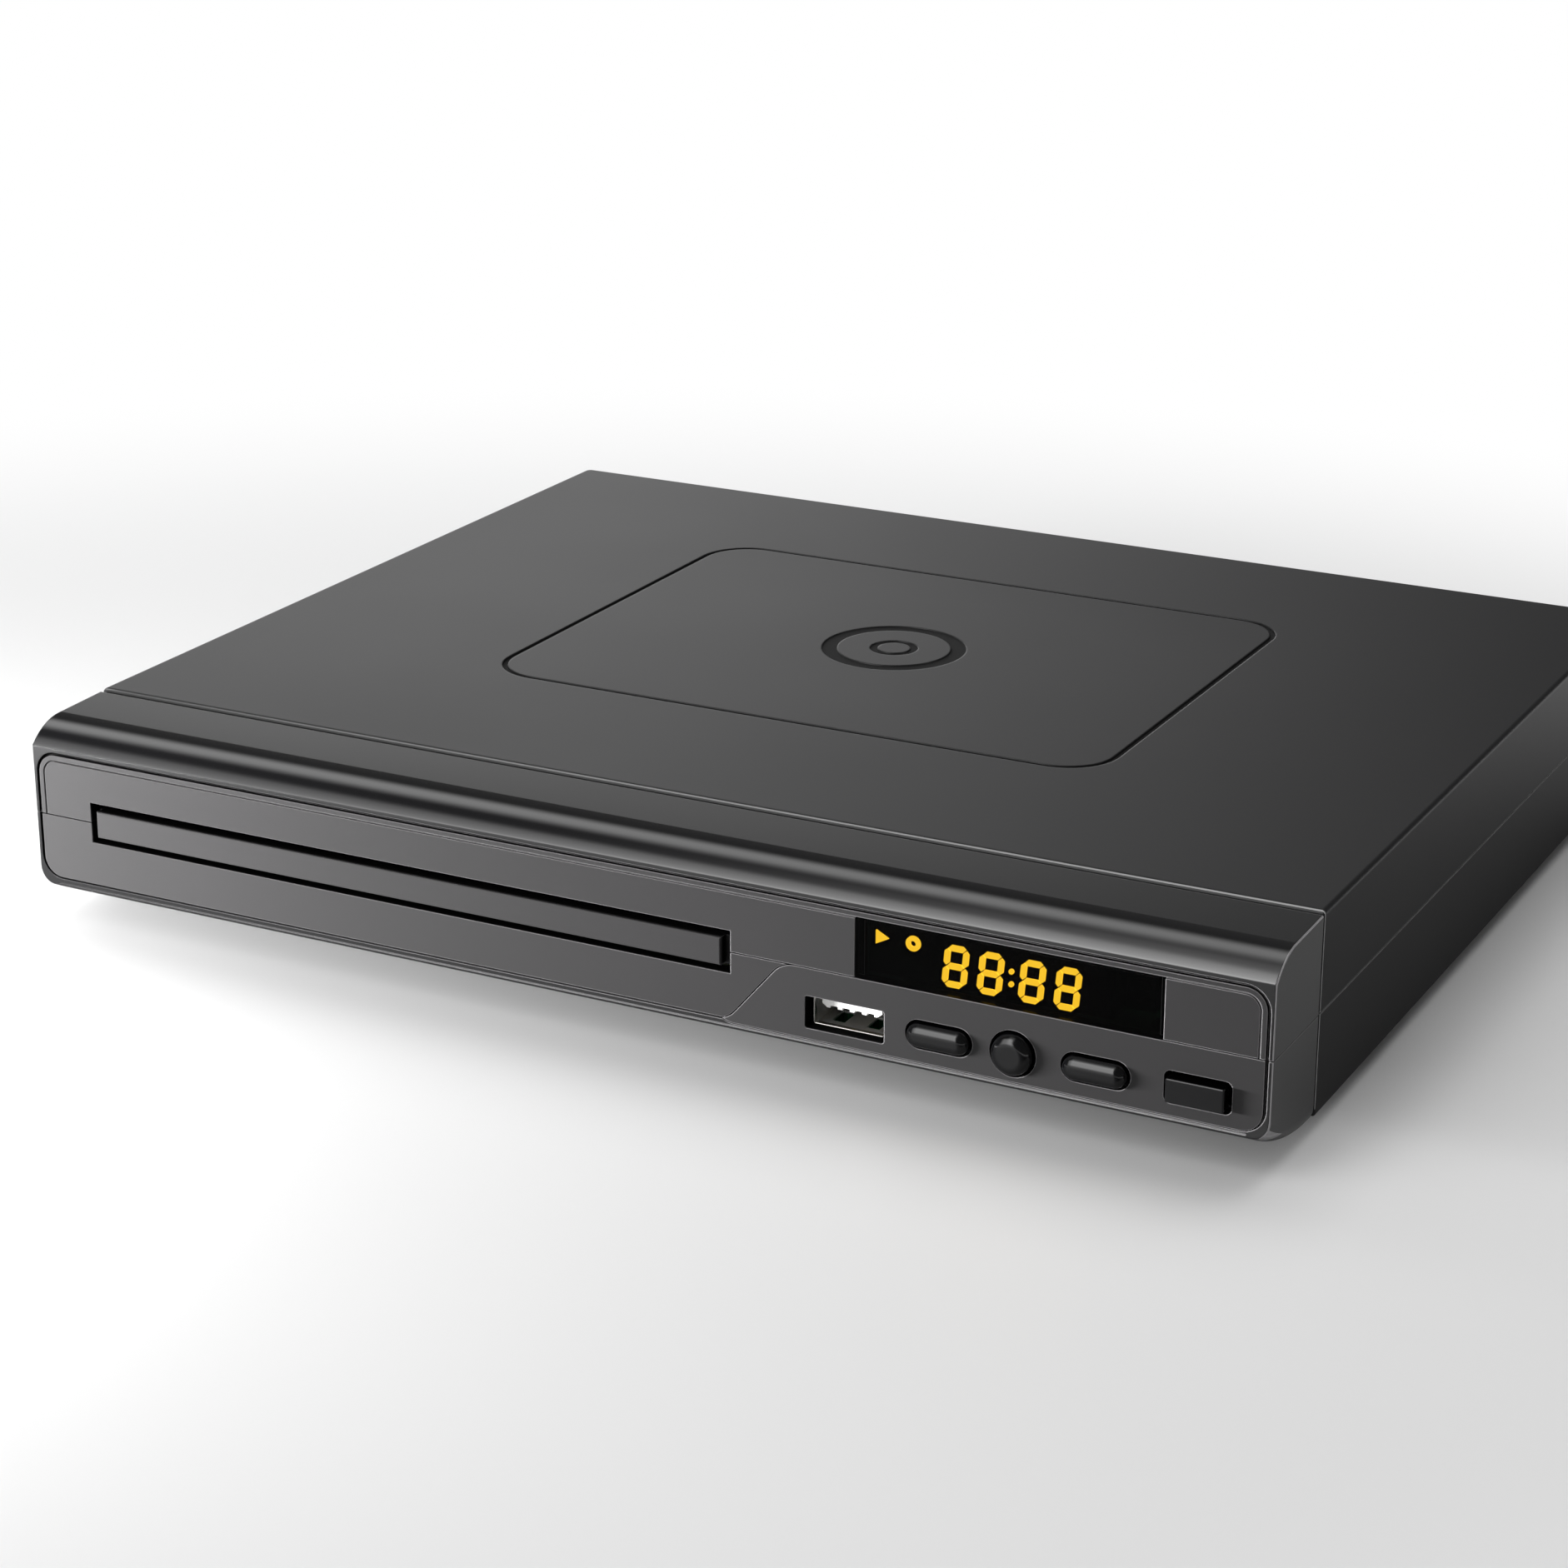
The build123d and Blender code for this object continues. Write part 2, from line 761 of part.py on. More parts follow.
with BuildPart() as power_button:
    cap_length = power_length - 2 * power_gap
    cap_height = power_height - 2 * power_gap
    block(around(power_x, cap_length), (-power_proud, stem_start), around(control_height, cap_height))
    fillet(edges().filter_by(Axis.Y), 0.3)
    fillet(faces().sort_by(Axis.Y)[0].edges(), 0.2)
    flange_length = power_length + 2 * flange_margin
    flange_height = power_height + 2 * flange_margin
    block(around(power_x, flange_length), (stem_start, flange_end), around(control_height, flange_height))
    block(around(power_x, 3), (stem_start, flange_end + 3), around(control_height, 3))

# Front board and what it carries
switch_face = stem_end + button_travel + 0.1

with BuildPart() as front_board:
    board_x = (usb_x - 10, width / 2 - front_board_margin)
    board_d = (front_board_depth, front_board_depth + board_thickness)
    block(board_x, board_d, (front_board_low, front_board_high))
    block(
        around(usb_x, usb_bore_width + 2 * usb_wall + 2 * fit),
        (board_d[0] - 1, board_d[1] + 1),
        around(usb_height, usb_bore_height + 2 * usb_wall + 2 * fit),
        Mode.SUBTRACT,
    )
    for x, h in upper_screws + lower_screws:
        rod(x, (board_d[0] - 1, board_d[1] + 1), h, through_hole, Mode.SUBTRACT)

with BuildPart() as tact_switches:
    for x in (left_button_x, round_button_x, right_button_x):
        block(around(x, 6), (switch_face + 0.8, front_board_depth), around(control_height, 6))
        rod(x, (switch_face, switch_face + 0.8), control_height, 1.6)

with BuildPart() as power_switch:
    block(around(power_x, 9), (5.4, front_board_depth), around(control_height, 8))
    block(around(power_x, 3.6), (5, front_board_depth - 0.3), around(control_height, 3.6), Mode.SUBTRACT)

display_face = window_thickness + display_clearance + digit_thickness

with BuildPart() as display_module:
    block(
        (window_center - 25.4, window_center + 17.5),
        (display_face, front_board_depth),
        (window_low + 0.6, window_high - 0.8),
    )


def digit_segments(x, h):
    """Seven leaning bars of one numeral whose middle is at x and h."""
    bar = digit_width - digit_stroke
    tall = (digit_height - digit_stroke) / 2
    places = [(0, tall, 0), (0, 0, 0), (0, -tall, 0)]
    places += [(sign_x * bar / 2, sign_h * tall / 2, 90) for sign_x in (-1, 1) for sign_h in (-1, 1)]
    tip = digit_stroke / 2
    for dx, dh, turn in places:
        half = ((bar if turn == 0 else tall) - 0.25) / 2
        corners = [(-half, 0), (tip - half, tip), (half - tip, tip)]
        corners += [(-x_end, -h_end) for x_end, h_end in corners]
        lean = dh * tan(radians(digit_lean))
        with Locations((x + dx + lean, h + dh)):
            Polygon(*corners, rotation=turn if turn == 0 else turn - digit_lean)


with BuildPart() as display_digits:
    digit_middle = (window_low + window_high) / 2 - 0.75
    first_digit = window_center - digit_start
    with BuildSketch(face(display_face - digit_thickness)) as digits:
        for number, gap in enumerate((0, 0, digit_pair_gap, digit_pair_gap)):
            digit_segments(first_digit + number * digit_pitch + gap, digit_middle)
        colon_x = first_digit + 1.5 * digit_pitch + digit_pair_gap / 2
        with Locations((colon_x, digit_middle + 1.1), (colon_x, digit_middle - 1.1)):
            Circle(0.45)
        with Locations((window_center - 23.1, digit_middle + 2.6)):
            Polygon((-1, -1.2), (1.3, 0), (-1, 1.2))
        with Locations((window_center - 17.4, digit_middle + 2.6)):
            Circle(1.3)
            Circle(0.5, mode=Mode.SUBTRACT)
    extrude(digits.sketch, amount=-digit_thickness)

with BuildPart() as ir_receiver:
    ir_x = window_center + 21.5
    ir_height = (window_low + window_high) / 2
    block(around(ir_x, 5), (4.2, front_board_depth), around(ir_height, 6))
    rod(ir_x, (2.6, 4.2), ir_height + 0.5, 2)
    fillet(faces().sort_by(Axis.Y)[0].edges(), 1.2)

# USB socket
usb_start = panel_thickness + 0.2
usb_end = usb_start + usb_length

with BuildPart() as usb_shell:
    outer_width = usb_bore_width + 2 * usb_wall
    outer_height = usb_bore_height + 2 * usb_wall
    block(around(usb_x, outer_width), (usb_start, usb_end), around(usb_height, outer_height))
    block(
        around(usb_x, usb_bore_width),
        (usb_start - 1, usb_end - usb_wall),
        around(usb_height, usb_bore_height),
        Mode.SUBTRACT,
    )
    for x in (usb_x - 3.2, usb_x + 3.2):
        spring_d = (usb_start + 1.6, usb_start + 6)
        block(around(x, 2.4), spring_d, around(usb_height, 2 * outer_height), Mode.SUBTRACT)

with BuildPart() as usb_tongue:
    tongue_top = usb_height + usb_bore_height / 2 - 0.65
    tongue_d = (usb_start + 0.3, usb_end - usb_wall)
    block(around(usb_x, tongue_width), tongue_d, (tongue_top - tongue_thickness, tongue_top))
    block(
        around(usb_x, usb_bore_width),
        (usb_end - usb_wall - 1.5, usb_end - usb_wall),
        around(usb_height, usb_bore_height),
    )

with BuildPart() as usb_contacts:
    tongue_low = tongue_top - tongue_thickness
    for place in (-3.5, -1, 1, 3.5):
        block(around(usb_x + place, 1), (usb_start + 2, usb_start + 9), (tongue_low - 0.2, tongue_low))

# Loader: tray and door
with BuildPart() as tray:
    tray_x = around(tray_center, tray_width)
    block(tray_x, (tray_front, tray_rear), (tray_low, tray_high))
    pocket = disc_radius + disc_clearance
    small_pocket = small_disc_radius + disc_clearance
    post(tray_center, spindle_depth, (disc_floor, tray_high + 1), pocket, Mode.SUBTRACT)
    post(
        tray_center,
        spindle_depth,
        (disc_floor - small_disc_pocket, tray_high),
        small_pocket,
        Mode.SUBTRACT,
    )
    post(tray_center, spindle_depth, (tray_low - 1, tray_high), slot_radius, Mode.SUBTRACT)
    block(
        around(tray_center, 2 * slot_radius),
        (spindle_depth, tray_rear + 1),
        (tray_low - 1, tray_high + 1),
        Mode.SUBTRACT,
    )
    fillet(edges().filter_by(Axis.Z).sort_by(Axis.Y)[-4:], 1.5)
    tooth_half = (pi * gear_module / 2 - gear_backlash) / 2
    slope = tan(radians(gear_pressure))
    tooth_pitch = pi * gear_module
    teeth_before = int((drive_depth - 6) / tooth_pitch)
    teeth_after = int((tray_rear - 3 - drive_depth) / tooth_pitch)
    rack_start = drive_depth - (teeth_before + 0.5) * tooth_pitch
    rack_end = drive_depth + (teeth_after + 0.5) * tooth_pitch
    channel = (drive_x - pinion_radius - gear_addendum - slide_gap, rack_x + gear_dedendum)
    block(channel, (rack_start, tray_rear + 1), (tray_low - 1, rack_top), Mode.SUBTRACT)
    with BuildSketch(level(rack_low)) as rack:
        back = rack_x + gear_dedendum + rack_backing
        with Locations(((rack_x + gear_dedendum + back) / 2, (rack_start + rack_end) / 2)):
            Rectangle(rack_backing, rack_end - rack_start)
        for number in range(-teeth_before, teeth_after + 1):
            with Locations((rack_x, drive_depth + number * tooth_pitch)):
                tip = tooth_half - gear_addendum * slope
                root = tooth_half + gear_dedendum * slope
                tip_corners = ((-gear_addendum, tip), (-gear_addendum, -tip))
                root_corners = ((gear_dedendum, -root), (gear_dedendum, root))
                Polygon(*tip_corners, *root_corners, align=None)
    extrude(amount=rack_top - rack_low)

with BuildPart() as tray_door:
    door_x = around(tray_center - 0.1, door_width)
    block(door_x, (-door_proud, tray_front), (door_low, door_high))
    fillet(faces().sort_by(Axis.Y)[0].edges(), door_round)


# Gears
def gear_outline(teeth, turn):
    """Involute gear with stub teeth, one tooth pointing along the angle turn."""
    pitch = gear_module * teeth / 2
    base = pitch * cos(radians(gear_pressure))
    tip = pitch + gear_addendum
    root = pitch - gear_dedendum
    half_tooth = (pi * gear_module / 2 - gear_backlash) / (2 * pitch)
    involute_at_pitch = tan(radians(gear_pressure)) - radians(gear_pressure)
    start = max(base, root)
    flank = []
    for step in range(5):
        radius = start + (tip - start) * step / 4
        turned = acos(min(1, base / radius))
        angle = half_tooth + involute_at_pitch - (tan(turned) - turned)
        flank.append((radius, angle))
    foot = [(root - 0.3, flank[0][1])]
    upper = [(radius * cos(angle), radius * sin(angle)) for radius, angle in foot + flank]
    lower = [(x, -y) for x, y in reversed(upper)]
    with BuildSketch() as tooth:
        Polygon(*(upper + lower), align=None)
    with BuildSketch() as gear:
        Circle(root)
        with PolarLocations(0, teeth, start_angle=turn):
            add(tooth.sketch_local)
    return gear.sketch_local


def gear(x, d, h, teeth, turn):
    """Gear body at x and d between two heights."""
    with BuildSketch(level(h[0])) as blank:
        with Locations((x, d)):
            add(gear_outline(teeth, turn))
    extrude(blank.sketch, amount=h[1] - h[0])


gear_bore_radius = gear_post_radius + gear_bore_gap
belt_top = belt_low + gear_thickness
groove_low = belt_low + pulley_flange
groove_high = belt_top - pulley_flange

with BuildPart() as drive_gear:
    gear(drive_x, drive_depth, (train_low, train_low + gear_thickness), wheel_teeth, train_angle)
    post(drive_x, drive_depth, (train_low, rack_low + 0.3), pinion_radius - gear_dedendum)
    gear(drive_x, drive_depth, (rack_low, rack_top - slide_gap), pinion_teeth, 180 / pinion_teeth)
    post(drive_x, drive_depth, (train_low - 1, rack_top), gear_bore_radius, Mode.SUBTRACT)

with BuildPart() as pulley_gear:
    gear(
        pulley_x,
        pulley_depth,
        (train_low - 0.3, belt_low),
        pulley_pinion_teeth,
        train_angle + 180 + 180 / pulley_pinion_teeth,
    )
    post(pulley_x, pulley_depth, (belt_low, belt_top), belt_big_radius - belt_thickness / 2 - belt_gap)
    for low in (belt_low, groove_high):
        post(pulley_x, pulley_depth, (low, low + pulley_flange), belt_big_radius + belt_thickness / 2)
    post(pulley_x, pulley_depth, (train_low - 1, belt_top + 1), gear_bore_radius, Mode.SUBTRACT)

with BuildPart() as motor_pulley:
    post(motor_x, motor_depth, (belt_low, belt_top), belt_small_radius - belt_thickness / 2 - belt_gap)
    for low in (belt_low, groove_high):
        post(motor_x, motor_depth, (low, low + pulley_flange), belt_small_radius + belt_thickness / 2)
    post(motor_x, motor_depth, (bay_top + 2, belt_low), motor_shaft_radius)

with BuildPart() as loading_motor:
    motor_top = belt_low - 0.4
    post(motor_x, motor_depth, (bay_top, motor_top), motor_radius)
    fillet(edges().group_by(Axis.Z)[-1], 0.8)
    shaft_bore = motor_shaft_radius + gear_bore_gap
    post(motor_x, motor_depth, (bay_top + 2, motor_top + 1), shaft_bore, Mode.SUBTRACT)


def belt_loop(growth):
    """Outline round both pulleys, grown from the belt's middle line."""
    with BuildSketch() as loop:
        with Locations((pulley_x, pulley_depth)):
            Circle(belt_big_radius + growth)
        with Locations((motor_x, motor_depth)):
            Circle(belt_small_radius + growth)
        make_hull()
    return loop.sketch_local


with BuildPart() as drive_belt:
    with BuildSketch(level(groove_low + 0.1)):
        add(belt_loop(belt_thickness / 2))
        add(belt_loop(-belt_thickness / 2), mode=Mode.SUBTRACT)
    extrude(amount=groove_high - groove_low - 0.2)

# Loader chassis
with BuildPart() as loader_chassis:
    runner_start = drive_depth + wheel_radius
    runner_end = loader_rear - 12
    cam_half = (cam_left - 6, cam_right + cam_travel + 2)
    bay_x = (tray_center - 40, drive_x + wheel_radius + gear_addendum + 0.8)
    inner_x = around(tray_center, 2 * loader_inner)
    block(inner_x, (loader_front, loader_rear), (deck_low, deck_top))
    for sign in (-1, 1):
        near = tray_center + sign * loader_inner
        far = tray_center + sign * loader_outer
        block(sorted((near, far)), (loader_front, loader_rear), (deck_low, wall_top))
        ledge = tray_center + sign * (loader_inner - 3.6)
        runner_top = tray_low - slide_gap
        block(sorted((near, ledge)), (runner_start, runner_end), (runner_top - 1.3, runner_top))
        hook = tray_center + sign * (loader_inner - 2.4)
        hook_low = tray_high + slide_gap
        for start in (loader_front + 3, bay_rear + 9.5, runner_end - 30):
            block(sorted((near, hook)), (start, start + 14), (hook_low, hook_low + 1.2))
    for x, d in bridge_screws:
        post(x, d, (wall_top - 10, wall_top), bridge_boss_radius)
    ledge_x = (tray_center + cam_half[0], tray_center + cam_half[1])
    window_x = around(tray_center, 2 * window_half)
    deck_cut = (deck_low - 1, deck_top + 1)
    block(bay_x, (loader_front + 1, bay_rear), deck_cut, Mode.SUBTRACT)
    block(window_x, (bay_rear, window_rear), deck_cut, Mode.SUBTRACT)
    block(ledge_x, (bay_rear, cam_front + cam_thickness + 1), deck_cut, Mode.SUBTRACT)
    block(bay_x, (bay_front, bay_rear), (bay_low, bay_top))
    for x in ((bay_x[0] - bay_thickness, bay_x[0]), (bay_x[1], bay_x[1] + bay_thickness)):
        block(x, (bay_front, bay_rear + 1.2), (bay_low, deck_top))
    rib_x = (bay_x[0] - bay_thickness, bay_x[1] + bay_thickness)
    rib_low = cam_low - slide_gap - 0.9
    block(rib_x, (bay_rear, cam_front - slide_gap), (rib_low, deck_top))
    ledge_end = cam_front + cam_thickness + slide_gap + 0.6
    block(ledge_x, (bay_rear, ledge_end), (rib_low, cam_low - slide_gap))
    block(ledge_x, (ledge_end - 0.6, ledge_end), (rib_low, cam_low + 1))
    for sign in (-1, 1):
        near = tray_center + sign * window_half
        far = tray_center + sign * (window_half + 4)
        block(sorted((near, far)), around(pivot_depth, 8), (pivot_height - 4, pivot_height + 4))
    axle(
        around(tray_center, 2 * (window_half + 6)),
        pivot_depth,
        pivot_height,
        pivot_radius + pivot_gap,
        Mode.SUBTRACT,
    )
    post(drive_x, drive_depth, (bay_top - 0.5, rack_top - slide_gap), gear_post_radius)
    post(pulley_x, pulley_depth, (bay_top - 0.5, belt_top + 0.2), gear_post_radius)
    for x, d in loader_posts:
        post(x, d, (deck_low - 1, deck_top + 1), through_hole, Mode.SUBTRACT)
    for x, d in bridge_screws:
        pilot_down(x, d, wall_top, screw_bite - bridge_thickness)

with BuildPart() as clamp_bridge:
    bridge_half = bridge_ear + bridge_boss_radius
    block(around(tray_center, 2 * bridge_half), around(spindle_depth, bridge_length), (wall_top, bridge_top))
    fillet(edges().filter_by(Axis.Z), 4)
    bridge_hole = clamper_neck + clamper_gap
    post(tray_center, spindle_depth, (wall_top - 1, bridge_top + 1), bridge_hole, Mode.SUBTRACT)
    for d in around(spindle_depth, bridge_length - 3):
        block(around(tray_center, tray_width - 20), around(d, 1.5), (bridge_top, bridge_top + 1.5))
    for x, d in bridge_screws:
        post(x, d, (wall_top - 1, bridge_top + 1), through_hole, Mode.SUBTRACT)

# Clamper, free to turn in the bridge
flange_low = bridge_top + slide_gap
clamper_top = flange_low + 1.5

with BuildPart() as clamper:
    post(tray_center, spindle_depth, (clamper_low, flange_low), clamper_neck)
    post(tray_center, spindle_depth, (flange_low, clamper_top), clamper_radius)
    post(tray_center, spindle_depth, (clamper_low - 1, clamper_low + 1.2), hub_radius + 1, Mode.SUBTRACT)

with BuildPart() as clamper_yoke:
    post(tray_center, spindle_depth, (clamper_top, clamper_top + 1), 9)
    fillet(edges().group_by(Axis.Z)[-1], 0.3)

# Cam slider, whose slanted slots lift the traverse
with BuildPart() as cam_slider:
    cam_span = (tray_center + cam_left, tray_center + cam_right)
    block(cam_span, (cam_front, cam_front + cam_thickness), (cam_low, cam_top))
    slant = degrees(acos(cam_travel / (cam_travel**2 + cam_drop**2) ** 0.5))
    slot_run = (cam_travel**2 + cam_drop**2) ** 0.5
    with BuildSketch(face(cam_front - 1)):
        for place in lift_pin_offsets:
            with Locations((tray_center + place - cam_travel / 2, lift_pin_height - cam_drop / 2)):
                SlotCenterToCenter(slot_run, 2 * (lift_pin_radius + cam_slot_gap), rotation=slant)
    extrude(amount=-(cam_thickness + 2), mode=Mode.SUBTRACT)

# Traverse and what it carries
with BuildPart() as traverse_frame:
    frame_x = around(tray_center, 2 * traverse_half)
    frame_top = plate_top + 3.5
    block(frame_x, (traverse_front, traverse_rear), (traverse_low, frame_top))
    inner_half = traverse_half - traverse_wall
    block(
        around(tray_center, 2 * inner_half),
        (traverse_front + traverse_wall, traverse_rear - traverse_wall),
        (plate_top, frame_top + 1),
        Mode.SUBTRACT,
    )
    block(
        around(tray_center, 44),
        (sled_front - 1, sled_end + 2),
        (traverse_low - 1, plate_top + 1),
        Mode.SUBTRACT,
    )
    for place in rod_offsets:
        for start in (sled_front - 4, sled_end + 2.5):
            top = rod_height + rod_radius + 1
            block(around(tray_center + place, 6), (start, start + 3), (plate_top, top))
            rod(tray_center + place, (start - 1, start + 4), rod_height, rod_radius + rod_gap, Mode.SUBTRACT)
    block(
        around(tray_center + screw_offset, 5),
        (sled_end + 2.5, sled_end + 5.5),
        (plate_top, rod_height + 2.2),
    )
    rod(
        tray_center + screw_offset,
        (sled_end, sled_end + 7),
        rod_height,
        lead_screw_radius + rod_gap,
        Mode.SUBTRACT,
    )
    feed_start = traverse_front + traverse_wall + 2
    block(
        around(tray_center + screw_offset, 2 * feed_motor_radius + 0.6),
        (feed_start - 0.5, feed_start + feed_motor_length + 0.5),
        (traverse_low - 1, plate_top + 1),
        Mode.SUBTRACT,
    )
    for place in lift_pin_offsets:
        pin_d = (cam_front + 0.3, traverse_front + 1)
        rod(tray_center + place, pin_d, lift_pin_height, lift_pin_radius)
    for sign in (-1, 1):
        near = tray_center + sign * (traverse_half - 1)
        far = tray_center + sign * (traverse_half + pivot_reach)
        axle(sorted((near, far)), pivot_depth, pivot_height, pivot_radius)

with BuildPart() as spindle_motor:
    stator_top = tray_low - 2.4
    post(tray_center, spindle_depth, (plate_top, stator_top), stator_radius)
    bore = motor_shaft_radius + rod_gap
    post(tray_center, spindle_depth, (plate_top + 0.3, stator_top + 1), bore, Mode.SUBTRACT)

with BuildPart() as turntable:
    rotor_top = seat_height - 2.4
    post(tray_center, spindle_depth, (plate_top + 0.6, stator_top + 0.3), motor_shaft_radius)
    post(tray_center, spindle_depth, (stator_top + 0.3, rotor_top), rotor_radius)
    post(tray_center, spindle_depth, (rotor_top, seat_height - 1.7), 9)
    post(tray_center, spindle_depth, (seat_height - 1.7, seat_height), turntable_radius)
    post(tray_center, spindle_depth, (seat_height, seat_height + 1.8), hub_radius)
    chamfer(edges().group_by(Axis.Z)[-1], 1.2, 0.9)

with BuildPart() as guide_rods:
    for place in rod_offsets:
        rod(tray_center + place, (sled_front - 4, sled_end + 5.5), rod_height, rod_radius)

with BuildPart() as feed_motor:
    feed_d = (feed_start, feed_start + feed_motor_length)
    rod(tray_center + screw_offset, feed_d, rod_height - 0.1, feed_motor_radius)
    block(
        around(tray_center + screw_offset, 2 * feed_motor_radius),
        (feed_start + feed_motor_length - 1.2, feed_start + feed_motor_length),
        (plate_top + 0.1, rod_height),
    )
    rod(
        tray_center + screw_offset,
        (feed_start + 6, feed_start + feed_motor_length + 1),
        rod_height,
        lead_screw_radius + rod_gap,
        Mode.SUBTRACT,
    )

with BuildPart() as lead_screw:
    rod(tray_center + screw_offset, (feed_start + 7, sled_end + 5), rod_height, lead_screw_radius)

with BuildPart() as sled:
    sled_d = (sled_front, sled_front + sled_length)
    sled_top = tray_low - 0.6
    block((tray_center - 18, tray_center + 16), sled_d, (plate_top + 0.4, sled_top))
    fillet(edges().filter_by(Axis.Z), 2)
    left_rod = tray_center + rod_offsets[0]
    right_rod = tray_center + rod_offsets[1]
    sled_middle = sled_front + sled_length / 2
    lug_h = (plate_top + 0.3, rod_height + 2.3)
    block((left_rod - 3, tray_center - 17), around(sled_middle, sled_length - 4), lug_h)
    rod(left_rod, around(sled_middle, sled_length), rod_height, rod_radius + rod_gap, Mode.SUBTRACT)
    nut_x = (tray_center + 15, tray_center + screw_offset - lead_screw_radius - slide_gap)
    block(nut_x, around(sled_middle, 10), lug_h)
    rod(right_rod, around(sled_middle, 12), rod_height, rod_radius + rod_gap, Mode.SUBTRACT)
    post(tray_center, lens_depth, (sled_top - 1, sled_top + 1.2), 6)

with BuildPart() as lens:
    post(tray_center, lens_depth, (sled_top + 1.2, sled_top + 2), 3)
    fillet(edges().group_by(Axis.Z)[-1], 0.7)

# Main board, power board and rear sockets
with BuildPart() as main_board:
    block((board_left, board_right), (board_front, board_rear), (board_height, board_top))
    for x, d in board_posts:
        post(x, d, (board_height - 1, board_top + 1), through_hole, Mode.SUBTRACT)

with BuildPart() as board_chips:
    decoder = (board_middle, board_front + 40, 22, 22, 2.2)
    memory = (board_middle, board_front + 68, 18, 12, 1.4)
    driver = (board_left + 11, board_front + 64, 8, 12, 1.6)
    ribbon_plug = (ribbon_x, board_front + 3, ribbon_width + 3, 5, 5)
    pickup_plug = (board_left + 13, board_front + 22, 20, 4, 3)
    for x, d, size_x, size_d, size_h in (decoder, memory, driver, ribbon_plug, pickup_plug):
        block(around(x, size_x), around(d, size_d), (board_top, board_top + size_h))

with BuildPart() as board_capacitors:
    spots = [(board_right - 8, board_front + d) for d in (22, 62, 74)]
    spots += [(power_middle, power_front + d) for d in (18, 30)]
    for x, d in spots:
        post(x, d, (board_top, board_top + 11), 4)
    fillet(edges().group_by(Axis.Z)[-1], 0.5)

with BuildPart() as power_board:
    block((power_left, power_right), (power_front, boss_rear - boss_radius - 1), (board_height, board_top))
    block((power_left, power_right - 7), (power_front + 60, board_rear), (board_height, board_top))
    for x, d in power_posts:
        post(x, d, (board_height - 1, board_top + 1), through_hole, Mode.SUBTRACT)

with BuildPart() as transformer:
    core_d = power_front + 52
    block(around(power_middle, 18), around(core_d, 18), (board_top, board_top + 15))
    block(around(power_middle, 12), around(core_d, 24), (board_top, board_top + 13))
    fillet(edges().filter_by(Axis.Z), 0.6)

with BuildPart() as mains_capacitor:
    post(power_middle, power_front + 84, (board_top, board_top + 20), 6.5)
    fillet(edges().group_by(Axis.Z)[-1], 0.8)

sheet_cut = (rear_face - rear_sheet - 1, rear_face + 1)
inlet_h = (board_top, board_top + inlet_height)

with BuildPart() as rear_panel:
    sheet_x = (socket_bay[0] - sheet_lap, socket_bay[1] + sheet_lap)
    block(sheet_x, (rear_face - rear_sheet, rear_face), (sheet_margin, height - sheet_margin))
    for x in jack_xs:
        rod(x, sheet_cut, jack_height, jack_root_radius + 0.3, Mode.SUBTRACT)
    for x, size, high in ((inlet_x, inlet_width, inlet_height), (hdmi_x, hdmi_width, hdmi_height)):
        socket_h = (board_top - socket_gap, board_top + high + socket_gap)
        block(around(x, size + 2 * socket_gap), sheet_cut, socket_h, Mode.SUBTRACT)

with BuildPart() as av_block:
    block(
        (jack_xs[0] - jack_pitch / 2, jack_xs[2] + jack_pitch / 2),
        (rear_face - 15, rear_face - rear_sheet - 0.2),
        (board_top, jack_height + 6),
    )
    for x in jack_xs:
        rod(x, (rear_face - 8, rear_face), jack_height, jack_root_radius + fit, Mode.SUBTRACT)

with BuildPart() as jack_barrels:
    for x in jack_xs:
        rod(x, (rear_face - 7.5, depth), jack_height, jack_root_radius)
        rod(x, (depth - 1, depth + jack_reach), jack_height, jack_radius)
        rod(x, (rear_face - 6.5, depth + jack_reach + 1), jack_height, jack_bore, Mode.SUBTRACT)


def jack_insert(x):
    """Coloured insulator in one barrel, with the collar round the barrel's root."""
    rod(x, (rear_face - 6.5, depth + jack_reach - 0.8), jack_height, jack_bore - 0.1)
    rod(x, (rear_face, rear_face + 1.8), jack_height, jack_root_radius + 1.3)
    rod(x, (rear_face - 1, rear_face + 3), jack_height, jack_root_radius + 0.1, Mode.SUBTRACT)
    rod(x, (rear_face - 6.5, depth + jack_reach - 0.8), jack_height, jack_bore - 0.1)
    rod(x, (rear_face - 3, depth + jack_reach + 1), jack_height, jack_pin_bore, Mode.SUBTRACT)


with BuildPart() as jack_video:
    jack_insert(jack_xs[0])

with BuildPart() as jack_left:
    jack_insert(jack_xs[1])

with BuildPart() as jack_right:
    jack_insert(jack_xs[2])

with BuildPart() as mains_inlet:
    inlet_middle = sum(inlet_h) / 2
    block(around(inlet_x, inlet_width), (rear_face - 17, rear_face + 1.2), inlet_h)
    with BuildSketch(face(rear_face + 1.2)):
        with Locations((inlet_x, inlet_middle)):
            SlotCenterToCenter(inlet_bore_pitch, inlet_bore)
    extrude(amount=inlet_depth, mode=Mode.SUBTRACT)
    for x in around(inlet_x, inlet_pin_pitch):
        rod(x, (rear_face - 20, rear_face - 5), inlet_middle, inlet_pin_radius + 0.05, Mode.SUBTRACT)

with BuildPart() as inlet_pins:
    for x in around(inlet_x, inlet_pin_pitch):
        rod(x, (rear_face - 18.5, rear_face - 1.5), inlet_middle, inlet_pin_radius)
    fillet(edges().group_by(Axis.Y)[-1], 0.5)

